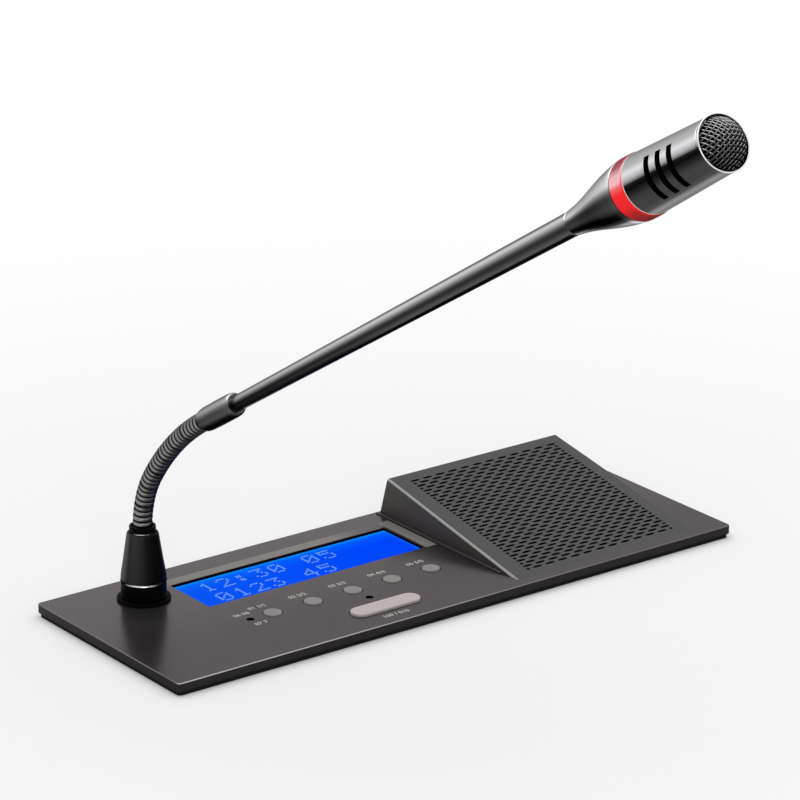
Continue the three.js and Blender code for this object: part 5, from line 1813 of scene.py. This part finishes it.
@dataclass
class Microphone:
    """Ferrule, rod and head, drawn along the rod's axis from the gooseneck's end."""

    ferrule: tuple[float, float] = (3.85, 21.3)
    rod: tuple[float, float, float] = (2.5, 3.5, 186.0)
    cone_length: float = 28.6
    cone_radii: tuple[float, float] = (3.7, 8.8)
    ring: tuple[float, float] = (8.9, 5.3)
    groove: float = 0.4
    body: tuple[float, float, float] = (8.65, 7.8, 32.0)
    seam_top: float = 0.35
    seam_bore: float = 7.0
    wall: float = 1.1
    floor: float = 2.0
    slots: int = 3
    slot_first: float = 9.7
    slot_pitch: float = 4.9
    slot_width: float = 2.2
    slot_arc: float = 92.0
    slot_turn: float = -9.0
    slot_reach: tuple[float, float] = (5.6, 10.0)
    rim: tuple[float, float] = (8.0, 1.3)
    rim_gap: float = 0.1
    rim_lip: float = 0.35
    dome: tuple[float, float] = (7.5, 5.1)
    lining: tuple[float, float] = (0.5, 0.3)
    wire_pitch: float = 1.0
    wire: float = 0.21
    wire_sides: int = 6
    wire_turn: float = 33.0
    wire_wave: float = 0.13
    wire_sink: float = 0.22
    shortest_wire: float = 1.5
    gap: float = 0.3
    bore: float = 1.2
    spigot: float = 5.7
    rear_room: float = 6.0

    def build(self, shop: Workshop, axis: Matrix) -> None:
        """Makes every piece of the microphone.

        Args:
            shop: Makes the pieces.
            axis: Sets a turned piece on the rod's axis.
        """
        self.build_rod(shop, axis)
        cone_foot = self.ferrule[1] + self.rod[2]
        ring_foot = cone_foot + self.cone_length + self.gap
        body_foot = ring_foot + self.ring[1] + self.groove
        rim_foot = body_foot + self.body[2] + self.rim_gap
        self.build_cone(shop, axis, cone_foot)
        self.build_ring(shop, axis, ring_foot)
        self.build_body(shop, axis, ring_foot, body_foot)
        self.build_mouth(shop, axis, rim_foot)
        shop.dress(Coats.MOULDED_BLACK, "capsule_cup")
        shop.dress(Coats.BRIGHT, "microphone_capsule")

    def settle(
        self,
        shop: Workshop,
        name: str,
        shape: Shape,
        coat: Coats,
        *nodes: str,
        slot: str = "gunmetal",
        angle: float = 32.0,
    ) -> None:
        """Makes a finished piece of the microphone's stiff part, which stands for some nodes."""
        shop.piece(name, shape, coat, "microphone_tip", slot, nodes, angle)

    def build_rod(self, shop: Workshop, axis: Matrix) -> None:
        """Makes the ferrule and the tapering rod.

        Args:
            shop: Makes the pieces.
            axis: Sets a turned piece on the rod's axis.
        """
        wide, length = self.ferrule
        shell = spun(
            [
                (self.bore, 0.9), (wide - 0.8, 0.9), (wide - 0.45, 1.4), (wide - 0.2, 2.2),
                (wide - 0.05, 3.6), (wide, 6.0), (wide + 0.05, length * 0.55), (wide, length - 2.5),
                (wide - 0.12, length - 1.2), (wide - 0.35, length - 0.45), (wide - 0.7, length),
                (self.bore, length),
            ],
            ring=True,
        )
        self.settle(shop, "ferrule_shell", set_at(shell, axis), Coats.FERRULE, "neck_ferrule")
        low, high, span = self.rod
        foot, top = length + self.gap, length + span - self.gap
        rod = spun(
            [
                (self.bore, foot), (low - 0.55, foot), (low - 0.2, foot + 0.35), (low, foot + 1.0),
                ((low + high) / 2, (foot + top) / 2), (high, top - 0.3), (high - 0.2, top),
                (self.bore, top),
            ],
            ring=True,
        )
        self.settle(shop, "rod_tube", set_at(rod, axis), Coats.ROD, "microphone_rod")

    def build_cone(self, shop: Workshop, axis: Matrix, foot: float) -> None:
        """Makes the rear housing that swells from the rod to the ring.

        Args:
            shop: Makes the pieces.
            axis: Sets a turned piece on the rod's axis.
            foot: The height of its foot along the rod.
        """
        neck, wide = self.cone_radii
        steps = 14
        flank = []
        for step in range(1, steps):
            share = step / steps
            swell = 0.5 - 0.5 * math.cos(math.pi * share**0.95)
            radius = neck + (wide - neck) * (0.62 * swell + 0.38 * share)
            flank.append((radius, foot + self.cone_length * share))
        top = foot + self.cone_length
        shape = spun(
            [
                (self.bore, foot), (neck - 0.3, foot), (neck - 0.05, foot + 0.2), *flank,
                (wide, top - 0.3), (wide - 0.15, top), (wide - self.wall, top),
                (self.rear_room, top - 11.0), (self.bore, top - 22.0),
            ],
            ring=True,
        )
        self.settle(shop, "head_rear", set_at(shape, axis), Coats.HEAD_REAR, "head_cone", angle=40.0)

    def build_ring(self, shop: Workshop, axis: Matrix, foot: float) -> None:
        """Makes the lit ring.

        Args:
            shop: Makes the pieces.
            axis: Sets a turned piece on the rod's axis.
            foot: The height of its foot along the rod.
        """
        radius, tall = self.ring
        shape = spun(
            [
                (self.rear_room, foot), (radius - 0.4, foot), (radius - 0.1, foot + 0.15),
                (radius, foot + 0.5), (radius, foot + tall - 0.8), (radius - 0.2, foot + tall - 0.25),
                (radius - 0.6, foot + tall), (self.rear_room, foot + tall),
            ],
            ring=True,
        )
        ring = set_at(shape, axis)
        self.settle(shop, "glow_ring", ring, Coats.RED_RING, "light_ring", slot="red_glow", angle=40.0)

    def slot_cutter(self, low: float, facing: float) -> Shape:
        """Makes the cutter of one slot: part of a ring, with its ends square.

        Args:
            low: The height of its foot.
            facing: The way that its middle faces, in degrees.

        Returns:
            The cutter.
        """
        shape = bmesh.new()
        inner, outer = self.slot_reach
        high = low + self.slot_width
        corners = [(inner, low), (outer, low), (outer, high), (inner, high)]
        verts = [shape.verts.new((radius, 0, height)) for radius, height in corners]
        face = shape.faces.new(verts)
        start = Matrix.Rotation(math.radians(facing - self.slot_arc / 2), 3, "Z")
        bmesh.ops.rotate(shape, verts=verts, cent=(0, 0, 0), matrix=start)
        arc = math.radians(self.slot_arc)
        bmesh.ops.spin(shape, geom=[face], cent=(0, 0, 0), axis=UP, angle=arc, steps=COARSE)
        bmesh.ops.recalc_face_normals(shape, faces=shape.faces)
        return shape

    def build_body(self, shop: Workshop, axis: Matrix, spigot_foot: float, foot: float) -> None:
        """Makes the slotted front housing.

        Args:
            shop: Makes the pieces.
            axis: Sets a turned piece on the rod's axis.
            spigot_foot: The height of the spigot's foot along the rod.
            foot: The height of the housing's foot.
        """
        wide, mouth, tall = self.body
        floor, top = foot + self.floor, foot + tall
        shape = spun(
            [
                (self.bore, spigot_foot), (self.spigot, spigot_foot), (self.spigot, foot),
                (wide - 0.2, foot), (wide, foot + 0.25), (mouth, top - 0.2), (mouth - 0.15, top),
                (mouth - self.wall, top), (mouth - self.wall, floor), (self.bore, floor),
            ],
            FINE,
            ring=True,
        )
        lows = [foot + self.slot_first + index * self.slot_pitch for index in range(self.slots)]
        sides = (180 - self.slot_turn, self.slot_turn)
        cutters = [self.slot_cutter(low, side) for low in lows for side in sides]
        body = shop.object_of("head_barrel", set_at(shape, axis), Coats.HEAD_FRONT)
        # The slots' cut walls take the dark cloth finish: painted shade inside the slots.
        shop.cut(body, shop.object_of("slot_cutters", set_at(merged(*cutters), axis), Coats.CLOTH))
        shop.smooth(body, 35.0)
        shop.settle(body, "microphone_tip", "gunmetal", ["head_body"])
        bead = eased(tube(self.seam_bore, wide, foot - 0.1, foot + self.seam_top, FINE), 0.12, 2)
        self.settle(shop, "head_seam", set_at(bead, axis), Coats.BRIGHT, slot="bright_metal")

    def build_mouth(self, shop: Workshop, axis: Matrix, foot: float) -> None:
        """Makes the bright rim, the dark dome and the wires woven over it.

        Args:
            shop: Makes the pieces.
            axis: Sets a turned piece on the rod's axis.
            foot: The height of the rim's foot along the rod.
        """
        radius, tall = self.rim
        inner = self.dome[0] + 0.1
        lip = foot + tall - self.rim_lip
        flank = radius - 0.05
        profile = [(inner, foot), (radius - 0.25, foot), (flank, foot + 0.2), (flank, lip), (inner, lip)]
        band = set_at(spun(profile, FINE, ring=True), axis)
        self.settle(shop, "rim_band", band, Coats.HEAD_FRONT, "head_rim", slot="bright_metal")
        edge = eased(tube(inner, radius, lip, foot + tall, FINE), 0.12, 3)
        self.settle(shop, "rim_lip", set_at(edge, axis), Coats.BRIGHT, slot="bright_metal")
        base = foot + self.gap
        self.settle(shop, "dome_lining", set_at(self.shell(base), axis), Coats.CLOTH, angle=60.0)
        self.settle(shop, "dome_wires", self.weave(axis, base), Coats.WIRES, "head_mesh", angle=60.0)

    def ball(self) -> float:
        """Returns the radius of the ball that the dome is part of."""
        wide, rise = self.dome
        return (wide * wide + rise * rise) / (2 * rise)

    def dome_height(self, out: float, sunk: float = 0.0) -> float:
        """Returns the dome's height over its foot at a distance from the axis."""
        ball = self.ball()
        return math.sqrt(max((ball - sunk) ** 2 - out * out, 0.0)) - ball + self.dome[1]

    def shell(self, base: float) -> Shape:
        """Makes the thin dark dome under the wires.

        Args:
            base: The height of the dome's foot.

        Returns:
            The dome.
        """
        inset, thick = self.lining
        wide = self.dome[0] - inset
        shares = (1.0, 0.86, 0.7, 0.5, 0.28, 0.0)
        upper = [(wide * s, base + max(self.dome_height(wide * s, inset), 0.05)) for s in shares]
        lower = [(radius * 0.96, max(height - thick, base - 0.05)) for radius, height in reversed(upper)]
        lower[-1] = (wide * 0.96, base - 0.1)
        return spun([*lower, *upper], MEDIUM)

    def weave(self, axis: Matrix, base: float) -> Shape:
        """Weaves the wires of the dome, over and under each other in two directions.

        Args:
            axis: Sets a turned piece on the rod's axis.
            base: The height of the dome's foot.

        Returns:
            The wires, in one shape.
        """
        wide = self.dome[0]
        count = int(wide / self.wire_pitch)
        shapes = []
        for turned in (False, True):
            for line in range(-count, count + 1):
                offset = line * self.wire_pitch
                reach = math.sqrt(max(wide * wide - offset * offset, 0.0))
                if reach >= self.shortest_wire:
                    shapes.append(self.wire_at(axis, base, offset, reach, turned, line))
        return merged(*shapes)

    def wire_at(
        self, axis: Matrix, base: float, offset: float, reach: float, turned: bool, line: int
    ) -> Shape:
        """Makes one wire.

        Args:
            axis: Sets a turned piece on the rod's axis.
            base: The height of the dome's foot.
            offset: The wire's distance from the dome's middle.
            reach: Half its span.
            turned: Whether it runs crosswise.
            line: Its number, which sets whether it starts over or under.

        Returns:
            The wire.
        """
        steps = max(8, round(2 * reach / self.wire_pitch * 2.5))
        spots = []
        for step in range(steps + 1):
            run = -reach + 2 * reach * step / steps
            wave = self.wire_wave * math.cos(math.pi * (run / self.wire_pitch + line + turned))
            height = base + self.dome_height(math.hypot(run, offset), self.wire_sink) + wave
            spots.append(Vector((offset, run, height)) if turned else Vector((run, offset, height)))
        turned_axis = axis @ Matrix.Rotation(math.radians(self.wire_turn), 4, "Z")
        stations = []
        for index, spot in enumerate(spots):
            ahead = spots[min(index + 1, steps)] - spots[max(index - 1, 0)]
            turn = ahead.to_track_quat("Z", "Y").to_matrix().to_4x4()
            stations.append((turned_axis @ Matrix.Translation(spot) @ turn, self.wire))
        return swept(stations, self.wire_sides)


class Underside:
    """The box, seal, screws and ports that the tabletop hides."""

    def build(self, shop: Workshop) -> None:
        """Dresses the hidden nodes.

        Args:
            shop: Makes the pieces.
        """
        shop.dress(Coats.SHEET, "back_box")
        shop.dress(Coats.FOAM, "rim_seal")
        shop.dress(Coats.BRIGHT, *[f"box_screw_{i}" for i in range(1, 5)])
        shop.dress(Coats.MOULDED_BLACK, "data_port_in", "data_port_out")


@dataclass
class Studio:
    """The tabletop with its cut-out, the lamps, the world and the camera."""

    azimuth: float = -36.805
    elevation: float = 19.606
    camera_place: Point = (-752.59, -1010.18, 537.96)
    lens: float = 189.0
    sensor: float = 36.0
    table_top: float = -4.36
    cut_out: tuple[float, float] = (208.6, 70.4)
    table_reach: float = 6000.0
    ambient: float = 0.33
    aim: Point = (0.0, -60.0, 90.0)
    fade: tuple[float, float] = (260.0, 420.0)

    def build(self) -> None:
        """Sets up everything that isn't part of the unit."""
        self.table()
        self.world()
        self.lamps()
        self.camera()
        bpy.context.scene.view_settings.view_transform = "Standard"

    def table(self) -> None:
        """Makes the pale tabletop, open under the panel."""
        shape = bmesh.new()
        bmesh.ops.create_grid(shape, x_segments=1, y_segments=1, size=0.5)
        bmesh.ops.scale(shape, vec=(self.cut_out[0], self.cut_out[1], 1), verts=shape.verts)
        bmesh.ops.delete(shape, geom=shape.faces[:], context="FACES_ONLY")
        grown = bmesh.ops.extrude_edge_only(shape, edges=shape.edges[:])["geom"]
        outer = [v for v in grown if isinstance(v, bmesh.types.BMVert)]
        for vert in outer:
            vert.co = [math.copysign(self.table_reach, side) for side in vert.co.xy] + [0]
        bmesh.ops.recalc_face_normals(shape, faces=shape.faces)
        set_at(shape, upright(*PANEL_MIDDLE, self.table_top))
        mesh = bpy.data.meshes.new("tabletop")
        shape.to_mesh(mesh)
        shape.free()
        mesh.materials.append(self.table_finish())
        linked("tabletop", mesh)

    def table_finish(self) -> bpy.types.Material:
        """Builds the tabletop's finish, which goes over into the white background further out.

        Returns:
            The material.
        """
        surface = Surface("pale_tabletop")
        surface.shader.inputs["Specular IOR Level"].default_value = 0.05
        surface.dress(Base_Color=grey(0.94), Roughness=0.8)
        settings = {"operation": "LENGTH"}
        apart = surface.node("ShaderNodeVectorMath", settings, {0: surface.where()}, "Value")
        white = surface.node("ShaderNodeEmission", {}, {"Color": WHITE, "Strength": 1.0})
        shader = Value(surface, surface.shader.outputs["BSDF"])
        factor = apart.above(self.fade[0] * MM, self.fade[1] * MM) * surface.seen()
        joined = surface.node("ShaderNodeMixShader", {}, {0: factor, 1: shader, 2: white})
        surface.put(surface.output.inputs["Surface"], joined)
        return surface.material

    def world(self) -> None:
        """Makes the world white to the eye and in reflections, and soft as light."""
        world = bpy.data.worlds.new("studio")
        bpy.context.scene.world = world
        world.use_nodes = True
        graph = Graph(world.node_tree)
        strength = graph.node("ShaderNodeMapRange", {}, {"Value": graph.seen(), "To Min": self.ambient})
        background = graph.node("ShaderNodeBackground", {}, {"Color": WHITE, "Strength": strength})
        output = graph.tree.nodes.new("ShaderNodeOutputWorld")
        graph.put(output.inputs["Surface"], background)

    def lamp(self, name: str, spot: Point, size: tuple[float, float], power: float) -> None:
        """Hangs one soft lamp that faces the unit's middle.

        Args:
            name: The lamp's name.
            spot: Its place, in millimetres in the frame.
            size: Its width and depth, in millimetres.
            power: Its power, in watts.
        """
        light = bpy.data.lights.new(name, "AREA")
        light.shape = "RECTANGLE"
        light.size = size[0] * MM
        light.size_y = size[1] * MM
        light.energy = power
        hung = linked(name, light)
        hung.location = Vector(spot) * MM
        aim = hung.location - Vector(self.aim) * MM
        hung.rotation_euler = aim.to_track_quat("Z", "Y").to_euler()

    def lamps(self) -> None:
        """Hangs the lamps: a broad one overhead and a weak one from the front."""
        self.lamp("overhead", (150, 150, 1250), (2600, 2400), 21.0)
        self.lamp("front_fill", (-900, -1300, 700), (800, 800), 4.0)

    def camera(self) -> None:
        """Sets the camera at the photo's place and angle."""
        lens = bpy.data.cameras.new("viewpoint")
        lens.lens = self.lens
        lens.sensor_width = self.sensor
        lens.clip_end = 50.0
        camera = linked("viewpoint", lens)
        turn, rise = math.radians(self.azimuth), math.radians(self.elevation)
        level = math.cos(rise)
        back = Vector((math.sin(turn) * level, -math.cos(turn) * level, math.sin(rise)))
        camera.location = Vector(self.camera_place) * MM
        camera.rotation_euler = back.to_track_quat("Z", "Y").to_euler()
        bpy.context.scene.camera = camera


def main() -> None:
    """Loads the frame, sets up the studio and builds every sub-assembly."""
    logging.basicConfig(level=logging.INFO, format="%(name)s: %(message)s")
    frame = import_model()
    Studio().build()
    shop = Workshop(Paintbox(), frame["nodes"])
    panel = Panel()
    neck = Gooseneck()
    panel.build(shop)
    Display().build(shop)
    SpeakerCover().build(shop)
    Keys().build(shop, panel)
    Socket().build(shop, panel.socket_centre)
    neck.build(shop)
    Microphone().build(shop, neck.axis())
    Underside().build(shop)


if __name__ == "__main__":
    main()
